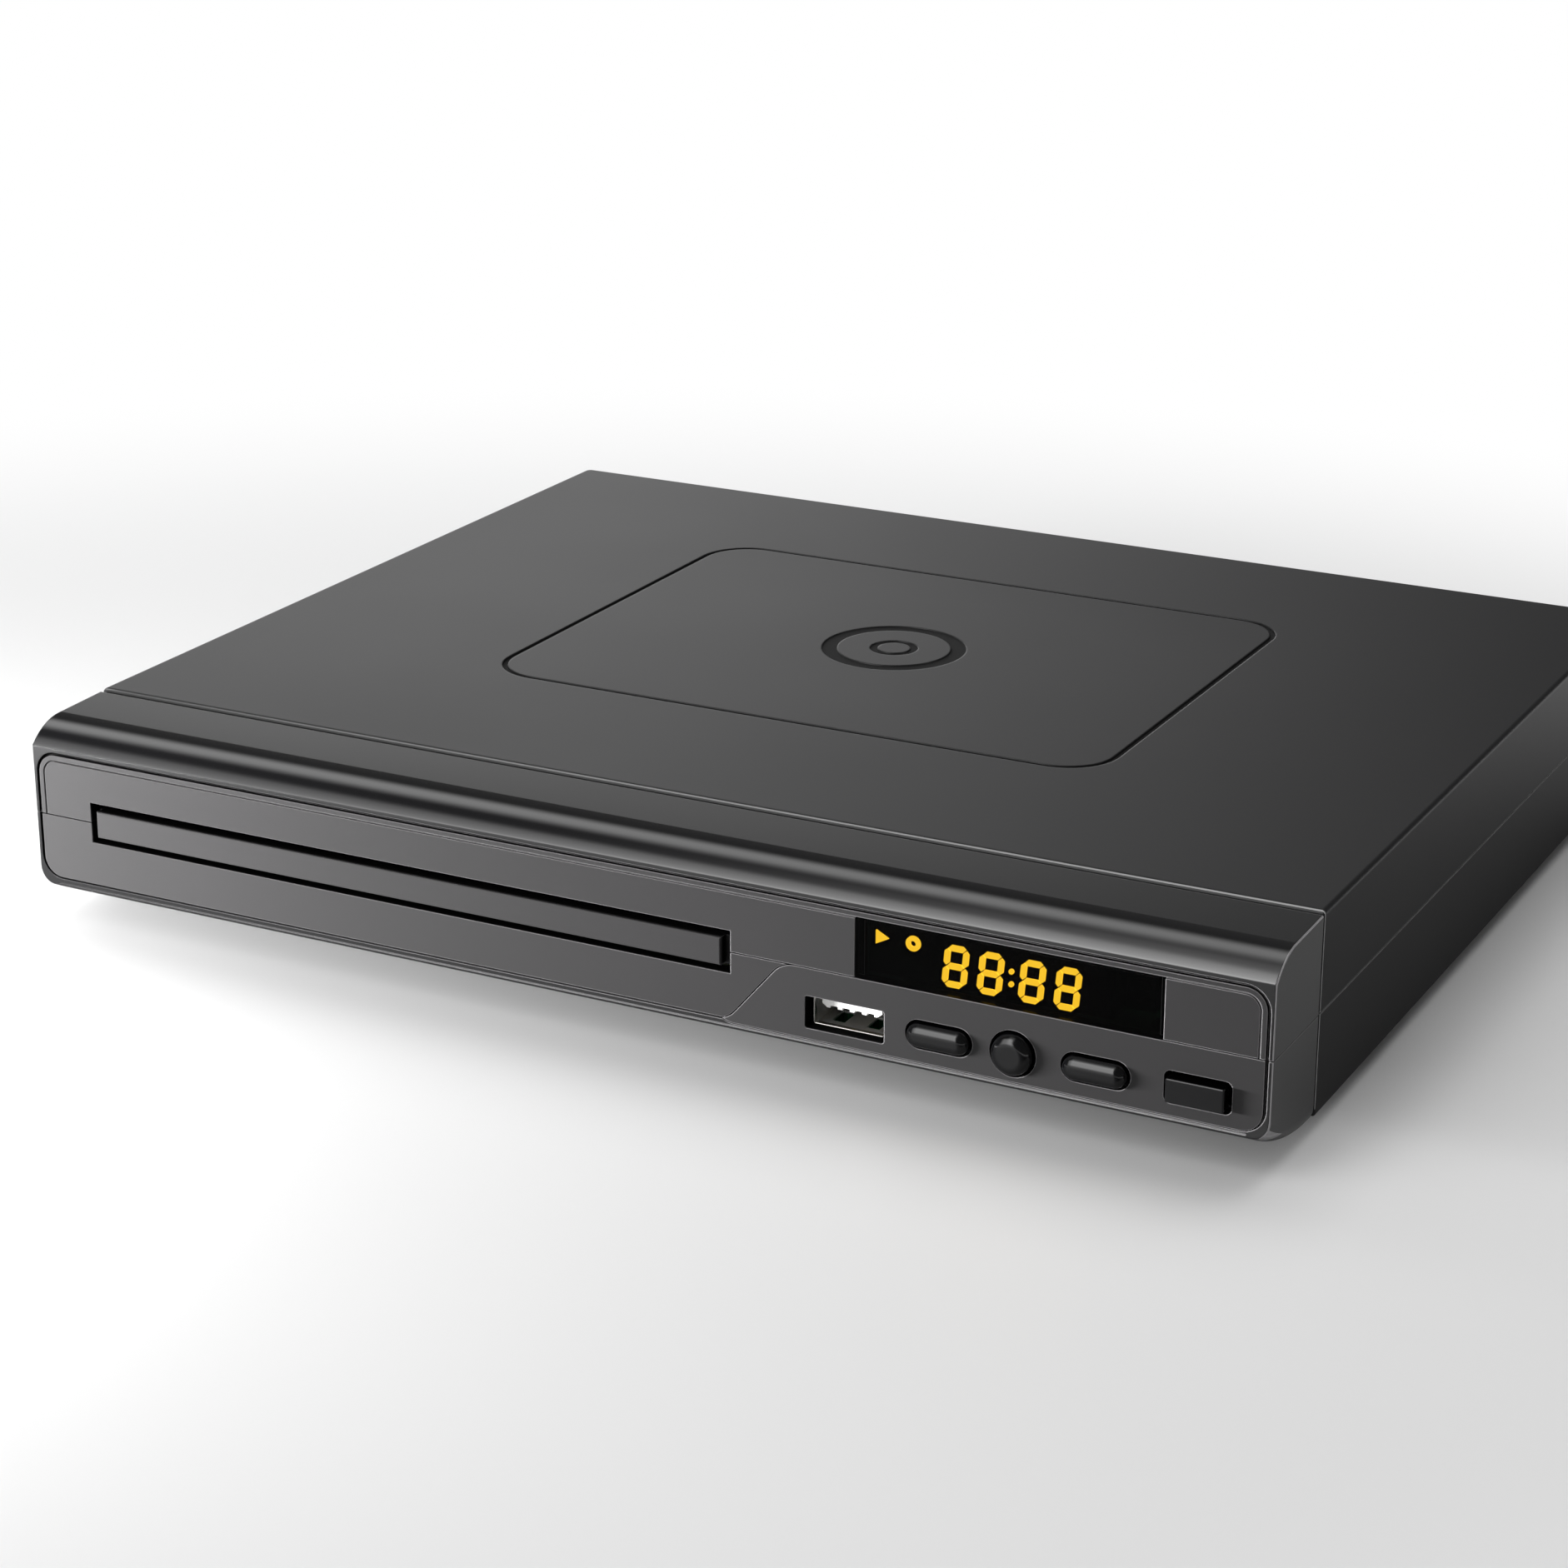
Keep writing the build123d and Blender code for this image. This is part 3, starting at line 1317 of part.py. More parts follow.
with BuildPart() as hdmi_socket:
    block(around(hdmi_x, hdmi_width), (rear_face - 11, rear_face + 0.4), (board_top, board_top + hdmi_height))
    block(
        around(hdmi_x, hdmi_width - 1),
        (rear_face - 9, rear_face + 1),
        (board_top + 0.5, board_top + hdmi_height - 0.5),
        Mode.SUBTRACT,
    )
    block(
        around(hdmi_x, hdmi_width - 4),
        (rear_face - 10, rear_face - 0.5),
        around(board_top + hdmi_height / 2, 1.2),
    )

with BuildPart() as front_ribbon:
    with BuildSketch(side(ribbon_x - ribbon_width / 2)) as strip:
        with BuildLine() as route:
            FilletPolyline(
                (front_board_depth + board_thickness, ribbon_height),
                (front_board_depth + 25, ribbon_height),
                (board_front - 12, board_top + 9),
                (board_front + 3, board_top + 9),
                (board_front + 3, board_top + 5),
                radius=1.6,
            )
        trace(line_width=0.5)
    extrude(strip.sketch, amount=ribbon_width)

# Fasteners
with BuildPart() as case_screws:
    for x, d in case_bosses:
        post(x, d, (screw_seat - screw_head, screw_seat), screw_head_radius)
        post(x, d, (screw_seat, seam_height + 6), screw_radius)

with BuildPart() as board_screws:
    for x, d in loader_posts:
        screw_down(x, d, deck_top)
    for x, d in bridge_screws:
        screw_down(x, d, bridge_top)
    for x, d in board_posts + power_posts:
        screw_down(x, d, board_top, board_screw_bite + board_thickness)
    back = front_board_depth + board_thickness
    for x, h in upper_screws + lower_screws:
        rod(x, (back, back + screw_head), h, screw_head_radius)
        rod(x, (panel_thickness + 1.5, back), h, screw_radius)

# Every piece under its own name
pieces = {
    "top_cover": top_cover,
    "bottom_case": bottom_case,
    "front_lip": front_lip,
    "front_skirt": front_skirt,
    "upper_fascia": upper_fascia,
    "lower_fascia": lower_fascia,
    "control_panel": control_panel,
    "display_window": display_window,
    "rear_panel": rear_panel,
    "feet": feet,
    "case_screws": case_screws,
    "board_screws": board_screws,
    "button_left": button_left,
    "button_round": button_round,
    "button_right": button_right,
    "power_button": power_button,
    "front_board": front_board,
    "tact_switches": tact_switches,
    "power_switch": power_switch,
    "display_module": display_module,
    "display_digits": display_digits,
    "ir_receiver": ir_receiver,
    "usb_shell": usb_shell,
    "usb_tongue": usb_tongue,
    "usb_contacts": usb_contacts,
    "tray": tray,
    "tray_door": tray_door,
    "drive_gear": drive_gear,
    "pulley_gear": pulley_gear,
    "motor_pulley": motor_pulley,
    "loading_motor": loading_motor,
    "drive_belt": drive_belt,
    "loader_chassis": loader_chassis,
    "clamp_bridge": clamp_bridge,
    "clamper": clamper,
    "clamper_yoke": clamper_yoke,
    "cam_slider": cam_slider,
    "traverse_frame": traverse_frame,
    "spindle_motor": spindle_motor,
    "turntable": turntable,
    "guide_rods": guide_rods,
    "feed_motor": feed_motor,
    "lead_screw": lead_screw,
    "sled": sled,
    "lens": lens,
    "main_board": main_board,
    "board_chips": board_chips,
    "board_capacitors": board_capacitors,
    "power_board": power_board,
    "transformer": transformer,
    "mains_capacitor": mains_capacitor,
    "av_block": av_block,
    "jack_barrels": jack_barrels,
    "jack_video": jack_video,
    "jack_left": jack_left,
    "jack_right": jack_right,
    "mains_inlet": mains_inlet,
    "inlet_pins": inlet_pins,
    "hdmi_socket": hdmi_socket,
    "front_ribbon": front_ribbon,
}

os.makedirs("parts", exist_ok=True)
for name, piece in pieces.items():
    piece.part.label = name
    export_step(piece.part, f"parts/{name}.step")
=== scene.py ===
import math

import bmesh
import bpy
from mathutils import Matrix, Vector


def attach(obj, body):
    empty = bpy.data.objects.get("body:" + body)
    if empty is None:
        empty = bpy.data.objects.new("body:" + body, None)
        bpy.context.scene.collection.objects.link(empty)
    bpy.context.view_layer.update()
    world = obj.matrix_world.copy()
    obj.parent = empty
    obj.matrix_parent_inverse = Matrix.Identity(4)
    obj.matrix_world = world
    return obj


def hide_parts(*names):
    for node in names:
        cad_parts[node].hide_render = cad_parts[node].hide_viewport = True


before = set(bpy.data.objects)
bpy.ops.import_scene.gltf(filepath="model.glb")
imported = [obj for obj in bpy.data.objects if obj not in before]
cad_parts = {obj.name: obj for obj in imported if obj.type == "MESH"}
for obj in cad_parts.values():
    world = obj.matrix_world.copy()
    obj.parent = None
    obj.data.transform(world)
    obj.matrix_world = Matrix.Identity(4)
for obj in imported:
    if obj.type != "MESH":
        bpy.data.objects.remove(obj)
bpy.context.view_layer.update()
print("frame loaded:", len(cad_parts), "nodes")

mm = 0.001
frontY = -0.10305  # face of the front panel
footZ = 0.003  # underside of the case
halfWidth = 0.12  # from the middle of the case to either end


def at(x, d, h):
    # a point from mm across, mm behind the front face and mm above the case's underside
    return Vector((x * mm, frontY + d * mm, footZ + h * mm))


def hexColor(code):
    # sRGB hex to the linear colour that the shaders take
    channels = [int(code[i:i + 2], 16) / 255 for i in (0, 2, 4)]
    return [c / 12.92 if c <= 0.04045 else ((c + 0.055) / 1.055) ** 2.4 for c in channels] + [1.0]


def addNode(tree, kind, settings=None, values=None, links=None):
    # adds one node, sets its fields and sockets, and links sources into it
    node = tree.nodes.new(kind)
    for name, value in (settings or {}).items():
        setattr(node, name, value)
    for name, value in (values or {}).items():
        node.inputs[name].default_value = value
    for name, source in (links or {}).items():
        tree.links.new(source, node.inputs[name])
    return node


def newMaterial(name):
    # an empty material, its tree, and the place on the object that its patterns follow
    material = bpy.data.materials.new(name)
    material.use_nodes = True
    tree = material.node_tree
    tree.nodes.clear()
    return material, tree, addNode(tree, "ShaderNodeTexCoord").outputs["Object"]


def within(tree, *ranges, also=None):
    # 1 where every value is within half of its middle, else 0; ranges are (value, middle, half)
    for value, middle, half in ranges:
        inside = addNode(tree, "ShaderNodeMath", {"operation": "COMPARE"}, {1: middle, 2: half},
                         {0: value}).outputs["Value"]
        if also is not None:
            inside = addNode(tree, "ShaderNodeMath", {"operation": "MULTIPLY"},
                             links={0: also, 1: inside}).outputs["Value"]
        also = inside
    return also


def lacquerSkinGapShade(tree, axes, skin, tone, rough):
    # the lacquer is only on the outer face: cut edges, gaps and deeper grooves are raw black plastic, and this
    # dull black also stands as painted shade in those recesses
    rawAndShade = addNode(tree, "ShaderNodeMapRange",
                  values={"From Min": frontY + skin["deep"] * mm,
                          "From Max": frontY + (skin["deep"] + skin["fade"]) * mm},
                  links={"Value": axes["Y"]}).outputs["Result"]
    cut = addNode(tree, "ShaderNodeMix", {"data_type": "RGBA"}, {7: hexColor(skin["under"])},
                  {"Factor": rawAndShade, 6: tone})
    rough = addNode(tree, "ShaderNodeMath", {"operation": "MAXIMUM"}, links={0: rough, 1: rawAndShade})
    return cut.outputs[2], rough.outputs["Value"]


def filledGrooves(tree, axes, inlay, tone, rough):
    # grooves in the middle of the top are filled with flat black, below the level of the surface
    halfX, halfY = (half * mm for half in inlay["half"])
    halfDeep = inlay["deep"] / 2 * mm
    onTop = within(tree, (axes["X"], 0, halfX), (axes["Y"], frontY + inlay["middle"] * mm, halfY))
    filled = within(tree, (axes["Z"], inlay["level"] * mm - halfDeep, halfDeep), also=onTop)
    paint = addNode(tree, "ShaderNodeMix", {"data_type": "RGBA"}, {7: hexColor(inlay["tone"])},
                    {"Factor": filled, 6: tone})
    dull = addNode(tree, "ShaderNodeMath", {"operation": "MULTIPLY"}, {1: inlay["rough"]}, {0: filled})
    rough = addNode(tree, "ShaderNodeMath", {"operation": "MAXIMUM"},
                    links={0: rough, 1: dull.outputs["Value"]})
    return paint.outputs[2], rough.outputs["Value"], onTop


def paintedEdgeHighlight(tree, axes, look, onTop):
    # 1 where a painted highlight runs along a sharp or rounded edge, as a thin lighter line
    normal = addNode(tree, "ShaderNodeNewGeometry").outputs["Normal"]
    wide = addNode(tree, "ShaderNodeBevel", {"samples": 6}, {"Radius": look.get("highlightWidth", 0.25) * mm})
    tilt = addNode(tree, "ShaderNodeVectorMath", {"operation": "DOT_PRODUCT"},
                   links={0: wide.outputs["Normal"], 1: normal})
    highlightMask = addNode(tree, "ShaderNodeMapRange", values={"From Min": 0.98, "From Max": 0.88},
                   links={"Value": tilt.outputs["Value"]}).outputs["Result"]
    for axis, middle, half, above in look.get("ridges", []):
        # a rounded edge for a painted highlight line is found by how far its normal has turned, from this
        # height in mm up
        turned = addNode(tree, "ShaderNodeSeparateXYZ", links={"Vector": normal}).outputs[axis]
        line = within(tree, (turned, middle, half), (axes["Z"], 0.5 + above * mm, 0.5))
        highlightMask = addNode(tree, "ShaderNodeMath", {"operation": "MAXIMUM"},
                       links={0: highlightMask, 1: line}).outputs["Value"]
    if onTop is not None:
        # the filled grooves get no painted edge highlight
        bare = addNode(tree, "ShaderNodeMath", {"operation": "SUBTRACT"}, {0: 1.0}, {1: onTop})
        highlightMask = addNode(tree, "ShaderNodeMath", {"operation": "MULTIPLY"},
                       links={0: highlightMask, 1: bare.outputs["Value"]}).outputs["Value"]
    if "highlightShare" in look:
        # the painted highlight is faint at the left and strong at the right: the share at the left end, and at
        # the right end
        left, right = look["highlightShare"]
        share = addNode(tree, "ShaderNodeMapRange",
                        values={"From Min": -halfWidth, "From Max": halfWidth, "To Min": left, "To Max": right},
                        links={"Value": axes["X"]}).outputs["Result"]
        highlightMask = addNode(tree, "ShaderNodeMath", {"operation": "MULTIPLY"},
                       links={0: highlightMask, 1: share}).outputs["Value"]
    return highlightMask


def surface(name, look):
    # moulded, painted or plated surface: fine grain, slow change of tone, softened edges
    material, tree, place = newMaterial(name)
    axes = addNode(tree, "ShaderNodeSeparateXYZ", links={"Vector": place}).outputs
    slow = addNode(tree, "ShaderNodeTexNoise",
                   values={"Scale": 1 / (look.get("patch", 40) * mm), "Detail": 3.0},
                   links={"Vector": place}).outputs["Fac"]
    stretch = addNode(tree, "ShaderNodeMapping", values={"Scale": look.get("stretch", (1, 1, 1))},
                      links={"Vector": place}).outputs["Vector"]
    grain = addNode(tree, "ShaderNodeTexNoise", values={"Scale": 1 / (look["grain"] * mm), "Detail": 2.0},
                    links={"Vector": stretch}).outputs["Fac"]
    first, second = (hexColor(code) for code in look["tones"])
    tone = addNode(tree, "ShaderNodeMix", {"data_type": "RGBA"}, {6: first, 7: second},
                   {"Factor": slow}).outputs[2]
    smooth, coarse = look["rough"]
    rough = addNode(tree, "ShaderNodeMapRange",
                    values={"From Min": 0.35, "From Max": 0.65, "To Min": smooth, "To Max": coarse},
                    links={"Value": slow}).outputs["Result"]
    edge = addNode(tree, "ShaderNodeBevel", {"samples": 6},
                   {"Radius": look.get("edge", 0.15) * mm}).outputs["Normal"]
    onTop = None
    # raw black deeper than the lacquer: real raw plastic, and painted shade in the gaps and grooves
    if "skin" in look:
        tone, rough = lacquerSkinGapShade(tree, axes, look["skin"], tone, rough)
    if "inlay" in look:
        tone, rough, onTop = filledGrooves(tree, axes, look["inlay"], tone, rough)
    # painted highlight: a lighter tone along the edges that the mask picks out
    if "highlightTone" in look:
        highlightMask = paintedEdgeHighlight(tree, axes, look, onTop)
        tone = addNode(tree, "ShaderNodeMix", {"data_type": "RGBA"}, {7: hexColor(look["highlightTone"])},
                       {"Factor": highlightMask, 6: tone}).outputs[2]
    bump = addNode(tree, "ShaderNodeBump", values={"Strength": look["bump"], "Distance": 0.02 * mm},
                   links={"Height": grain, "Normal": edge}).outputs["Normal"]
    values = {"Metallic": look.get("metal", 0.0), "IOR": look.get("ior", 1.5),
              "Specular IOR Level": look.get("shine", 0.5), "Coat Weight": look.get("coat", 0.0),
              "Coat Roughness": look.get("coatRough", 0.1)}
    shader = addNode(tree, "ShaderNodeBsdfPrincipled", values=values,
                     links={"Base Color": tone, "Roughness": rough, "Normal": bump})
    addNode(tree, "ShaderNodeOutputMaterial", links={"Surface": shader.outputs["BSDF"]})
    return material


def boardMask(name, look):
    # solder mask over etched tracks: the tracks show as a lighter relief on a raster given in mm
    material, tree, place = newMaterial(name)
    tracks = addNode(tree, "ShaderNodeTexBrick", {"offset": 0.35},
                     {"Scale": 1 / (look["raster"] * mm), "Mortar Size": 0.09, "Mortar Smooth": 0.2,
                      "Color1": (0, 0, 0, 1), "Color2": (0.25, 0.25, 0.25, 1), "Mortar": (1, 1, 1, 1)},
                     {"Vector": place}).outputs["Color"]
    mask, track = (hexColor(code) for code in look["tones"])
    tone = addNode(tree, "ShaderNodeMix", {"data_type": "RGBA"}, {6: mask, 7: track},
                   {"Factor": tracks}).outputs[2]
    bump = addNode(tree, "ShaderNodeBump", values={"Strength": 0.6, "Distance": 0.035 * mm},
                   links={"Height": tracks}).outputs["Normal"]
    shader = addNode(tree, "ShaderNodeBsdfPrincipled", values={"Roughness": 0.32, "IOR": 1.55},
                     links={"Base Color": tone, "Normal": bump})
    addNode(tree, "ShaderNodeOutputMaterial", links={"Surface": shader.outputs["BSDF"]})
    return material


def smokedWindow(name, look):
    # dark tinted acrylic, polished: what lies behind it shows only where it is bright
    material, tree, place = newMaterial(name)
    wave = addNode(tree, "ShaderNodeTexNoise", values={"Scale": 1 / (12 * mm), "Detail": 1.0},
                   links={"Vector": place}).outputs["Fac"]
    bump = addNode(tree, "ShaderNodeBump", values={"Strength": 0.05, "Distance": 0.02 * mm},
                   links={"Height": wave}).outputs["Normal"]
    first, second = (hexColor(code) for code in look["tones"])
    tint = addNode(tree, "ShaderNodeMix", {"data_type": "RGBA"}, {6: first, 7: second},
                   {"Factor": wave}).outputs[2]
    shader = addNode(tree, "ShaderNodeBsdfPrincipled",
                     values={"Roughness": 0.02, "IOR": 1.49, "Specular IOR Level": look["shine"],
                             "Alpha": look["dark"]},
                     links={"Base Color": tint, "Normal": bump})
    addNode(tree, "ShaderNodeOutputMaterial", links={"Surface": shader.outputs["BSDF"]})
    return material


def litSegments(name, look):
    # light-emitting segments, a little uneven with the grain of their diffuser
    material, tree, place = newMaterial(name)
    spots = addNode(tree, "ShaderNodeTexNoise", values={"Scale": 1 / (1.5 * mm), "Detail": 1.0},
                    links={"Vector": place}).outputs["Fac"]
    first, second = (hexColor(code) for code in look["tones"])
    glow = addNode(tree, "ShaderNodeMix", {"data_type": "RGBA"}, {6: first, 7: second},
                   {"Factor": spots}).outputs[2]
    shader = addNode(tree, "ShaderNodeBsdfPrincipled",
                     values={"Roughness": 0.6, "Emission Strength": look["power"]},
                     links={"Base Color": glow, "Emission Color": glow})
    addNode(tree, "ShaderNodeOutputMaterial", links={"Surface": shader.outputs["BSDF"]})
    return material


# every finish, named for the real material and how its surface was made; lengths are in mm
finishes = {
    # ABS moulded in a spark-eroded tool: dull, with a fine even grain, black fill in the top's grooves, and a
    # painted highlight along its front edges
    "caseSatinAbs": {"tones": ("141415", "161617"), "rough": (0.38, 0.4), "grain": 0.25, "bump": 0.1,
                     "edge": 0.42, "shine": 0.55, "patch": 90, "highlightTone": "B0B0B0", "highlightWidth": 0.3,
                     "highlightShare": (0.1, 0.8), "ridges": [("Y", -0.6, 0.15, 4.5)],
                     "inlay": {"level": 38.8, "deep": 2.0, "middle": 112.2, "half": (70, 60),
                               "tone": "040404", "rough": 0.75}},
    # ABS from a polished tool: near-black gloss with a slight waviness, and painted highlights along the lip's
    # edges and ends
    "frontGlossAbs": {"tones": ("060607", "080809"), "rough": (0.1, 0.12), "grain": 14, "bump": 0.05,
                      "edge": 0.3, "ior": 1.55, "shine": 0.8, "coat": 1.0, "coatRough": 0.12, "patch": 60,
                      "highlightTone": "A09EA0", "highlightShare": (0.04, 0.9),
                      "ridges": [("X", 0.62, 0.3, 6.5), ("X", -0.62, 0.3, 6.5)]},
    # lacquered ABS: dark grey metallic lacquer, sprayed on the outer face only, with raw black below it that
    # also stands as painted shade in gaps and grooves, and painted highlights along its edges
    "panelLacquer": {"tones": ("2F2F2F", "323132"), "rough": (0.34, 0.36), "grain": 0.3, "bump": 0.05,
                     "edge": 0.25, "skin": {"deep": 0.25, "fade": 0.1, "under": "030303"}, "patch": 70,
                     "shine": 0.12, "highlightTone": "A09EA0", "highlightShare": (0.04, 0.9)},
    # painted and polished caps: deep black with crisp highlights, and a faint painted highlight along their
    # edges
    "capGlossPaint": {"tones": ("040405", "070708"), "rough": (0.1, 0.13), "grain": 2.5, "bump": 0.04,
                      "edge": 0.25, "shine": 0.8, "highlightTone": "3C3C3E"},
    # unpainted ABS inside the loader: flat black
    "innerBlackAbs": {"tones": ("101011", "151516"), "rough": (0.45, 0.55), "grain": 0.3, "bump": 0.2},
    # acetal gears: natural ivory, slightly waxy
    "acetalIvory": {"tones": ("D9D5C8", "E4E1D6"), "rough": (0.35, 0.45), "grain": 0.5, "bump": 0.05,
                    "edge": 0.1},
    # nylon: plain white, satin
    "nylonWhite": {"tones": ("F6F6F3", "FCFCFA"), "rough": (0.4, 0.5), "grain": 0.4, "bump": 0.05, "edge": 0.1},
    # black mask paint round the lit segments: no shine, so the window stays black
    "maskPaint": {"tones": ("020202", "040404"), "rough": (0.8, 0.9), "grain": 0.4, "bump": 0.05,
                  "shine": 0.05},
    # rubber feet and belt: dull black
    "nitrileRubber": {"tones": ("121212", "1B1B1B"), "rough": (0.7, 0.85), "grain": 0.25, "bump": 0.4,
                      "edge": 0.3},
    # nickel plating on drawn steel: bright, faint draw lines
    "nickelPlate": {"tones": ("C9C7C2", "D6D4CF"), "rough": (0.16, 0.24), "grain": 0.4, "bump": 0.08,
                    "metal": 1.0, "stretch": (1, 0.05, 1), "edge": 0.1},
    # tin plated socket shell: soft grey steel, hazier than nickel
    "tinPlate": {"tones": ("D0D0CE", "DCDCDA"), "rough": (0.4, 0.5), "grain": 0.5, "bump": 0.08, "metal": 1.0,
                 "edge": 0.1},
    # zinc plated sheet: grey with soft clouds
    "zincSheet": {"tones": ("8F9192", "A9ABAC"), "rough": (0.32, 0.45), "grain": 0.8, "bump": 0.1, "metal": 1.0,
                  "patch": 6, "edge": 0.12},
    # black zinc on screws: dark metal
    "blackZinc": {"tones": ("3A3A3C", "4A4A4C"), "rough": (0.3, 0.4), "grain": 0.3, "bump": 0.1, "metal": 1.0,
                  "edge": 0.1},
    # powder coated rear sheet: black orange peel
    "powderBlack": {"tones": ("151516", "1A1A1B"), "rough": (0.45, 0.55), "grain": 0.7, "bump": 0.3},
    # gold flashed contacts
    "goldFlash": {"tones": ("D9B65A", "E6C878"), "rough": (0.2, 0.3), "grain": 0.3, "bump": 0.05, "metal": 1.0,
                  "edge": 0.05},
    # epoxy moulded chips: grey black, fine blasted face
    "chipEpoxy": {"tones": ("19191A", "222223"), "rough": (0.55, 0.65), "grain": 0.15, "bump": 0.2,
                  "edge": 0.1},
    # shrink sleeve on capacitors
    "sleeveVinyl": {"tones": ("16181E", "1E222A"), "rough": (0.25, 0.35), "grain": 1.2, "bump": 0.05,
                    "edge": 0.2},
    # polyester tape round the transformer's winding
    "windingTape": {"tones": ("C99A1E", "D9AF3A"), "rough": (0.3, 0.4), "grain": 0.6, "bump": 0.2,
                    "stretch": (0.1, 0.1, 4), "edge": 0.1},
    # polyester flat cable, with the ribs of its conductors
    "flatCable": {"tones": ("C8C9C6", "DDDEDB"), "rough": (0.35, 0.45), "grain": 0.5, "bump": 0.3,
                  "stretch": (2, 0.02, 0.02), "edge": 0.05},
    # coloured inserts of the phono jacks
    "insertYellow": {"tones": ("E0B400", "EBC31A"), "rough": (0.3, 0.38), "grain": 0.5, "bump": 0.05},
    "insertWhite": {"tones": ("E6E5E0", "F0EFEA"), "rough": (0.3, 0.38), "grain": 0.5, "bump": 0.05},
    "insertRed": {"tones": ("A80F0F", "BC1A18"), "rough": (0.3, 0.38), "grain": 0.5, "bump": 0.05},
}
finish = {name: surface(name, look) for name, look in finishes.items()}
finish["boardGreen"] = boardMask("boardGreen", {"raster": 1.3, "tones": ("0B3A22", "1C5A36")})
finish["smokedAcrylic"] = smokedWindow("smokedAcrylic",
                                       {"tones": ("020202", "030303"), "dark": 0.68, "shine": 0.05})
finish["amberSegments"] = litSegments("amberSegments", {"tones": ("F2BC26", "F8C832"), "power": 9.85})
finish["pickupLens"] = smokedWindow("pickupLens", {"tones": ("2A3A78", "3A4A88"), "dark": 0.7, "shine": 0.5})
print("finishes made:", len(finish))

nodeFinish = {
    "caseSatinAbs": ["top_cover", "bottom_case"],
    "frontGlossAbs": ["front_lip", "front_skirt"],
    "panelLacquer": ["upper_fascia", "lower_fascia", "control_panel", "tray_door"],
    "smokedAcrylic": ["display_window"],
    "amberSegments": ["display_digits"],
    "capGlossPaint": ["button_left", "button_round", "button_right", "power_button"],
    "innerBlackAbs": ["tray", "loader_chassis", "clamper", "turntable", "sled", "power_switch", "tact_switches",
                      "av_block", "mains_inlet"],
    "maskPaint": ["display_module", "ir_receiver"],
    "acetalIvory": ["drive_gear", "pulley_gear", "motor_pulley", "cam_slider"],
    "nylonWhite": ["usb_tongue"],
    "nitrileRubber": ["feet", "drive_belt"],
    "tinPlate": ["usb_shell"],
    "nickelPlate": ["jack_barrels", "inlet_pins", "hdmi_socket", "guide_rods", "lead_screw"],
    "zincSheet": ["clamp_bridge", "clamper_yoke", "traverse_frame", "loading_motor", "spindle_motor",
                  "feed_motor"],
    "blackZinc": ["case_screws", "board_screws"],
    "powderBlack": ["rear_panel"],
    "goldFlash": ["usb_contacts"],
    "chipEpoxy": ["board_chips"],
    "sleeveVinyl": ["board_capacitors", "mains_capacitor"],
    "windingTape": ["transformer"],
    "flatCable": ["front_ribbon"],
    "boardGreen": ["front_board", "main_board", "power_board"],
    "insertYellow": ["jack_video"],
    "insertWhite": ["jack_left"],
    "insertRed": ["jack_right"],
    "pickupLens": ["lens"],
}
for name, nodes in nodeFinish.items():
    for node in nodes:
        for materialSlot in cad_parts[node].material_slots:
            materialSlot.material = finish[name]
print("nodes dressed:", sum(len(nodes) for nodes in nodeFinish.values()))


def meshFrom(name, shape):
    # turns every face outwards and stores the shape as a mesh
    bmesh.ops.recalc_face_normals(shape, faces=shape.faces)
    mesh = bpy.data.meshes.new(name)
    shape.to_mesh(mesh)
    shape.free()
    return mesh


def lathe(name, outline, steps):
    # turns a side outline (radius, height in mm) round the upright axis into a closed mesh
    shape = bmesh.new()
    rows = []
    for radius, height in outline:
        turns = [2 * math.pi * k / steps for k in range(steps)] if radius > 0 else [0]
        rows.append([shape.verts.new((radius * mm * math.cos(t), radius * mm * math.sin(t), height * mm))
                     for t in turns])
    for low, high in zip(rows, rows[1:]):
        for k in range(steps):
            n = k + 1
            corners = [low[k % len(low)], low[n % len(low)], high[n % len(high)], high[k % len(high)]]
            shape.faces.new(list(dict.fromkeys(corners)))
    return meshFrom(name, shape)


def prism(name, outline, start, end, taper=1.0):
    # stands a flat outline (mm) up between two heights, its far end scaled by taper
    shape = bmesh.new()
    low = [shape.verts.new((x * mm, y * mm, start * mm)) for x, y in outline]
    high = [shape.verts.new((x * taper * mm, y * taper * mm, end * mm)) for x, y in outline]
    shape.faces.new(low)
    shape.faces.new(high)
    for k in range(len(outline)):
        n = (k + 1) % len(outline)
        shape.faces.new([low[k], low[n], high[n], high[k]])
    return meshFrom(name, shape)


def newObject(name, mesh):
    made = bpy.data.objects.new(name, mesh)
    bpy.context.collection.objects.link(made)
    return made


def settle(maker, name):
    # the evaluated result as a plain mesh object; the maker and its modifiers go
    bpy.context.view_layer.update()
    result = bpy.data.meshes.new_from_object(maker.evaluated_get(bpy.context.evaluated_depsgraph_get()))
    bpy.data.objects.remove(maker)
    result.name = name
    return newObject(name, result)


def openTree(name, inputs):
    # an empty node tree with its named inputs and one geometry output
    tree = bpy.data.node_groups.new(name, "GeometryNodeTree")
    for label, kind in inputs.items():
        tree.interface.new_socket(label, in_out="INPUT", socket_type="NodeSocket" + kind)
    tree.interface.new_socket("Geometry", in_out="OUTPUT", socket_type="NodeSocketGeometry")
    return tree, addNode(tree, "NodeGroupInput").outputs


def closeTree(tree, geometry, given):
    solid = addNode(tree, "GeometryNodeRealizeInstances", links={"Geometry": geometry}).outputs["Geometry"]
    dressed = addNode(tree, "GeometryNodeSetMaterial", links={"Geometry": solid, "Material": given["Finish"]})
    addNode(tree, "NodeGroupOutput", links={"Geometry": dressed.outputs["Geometry"]})


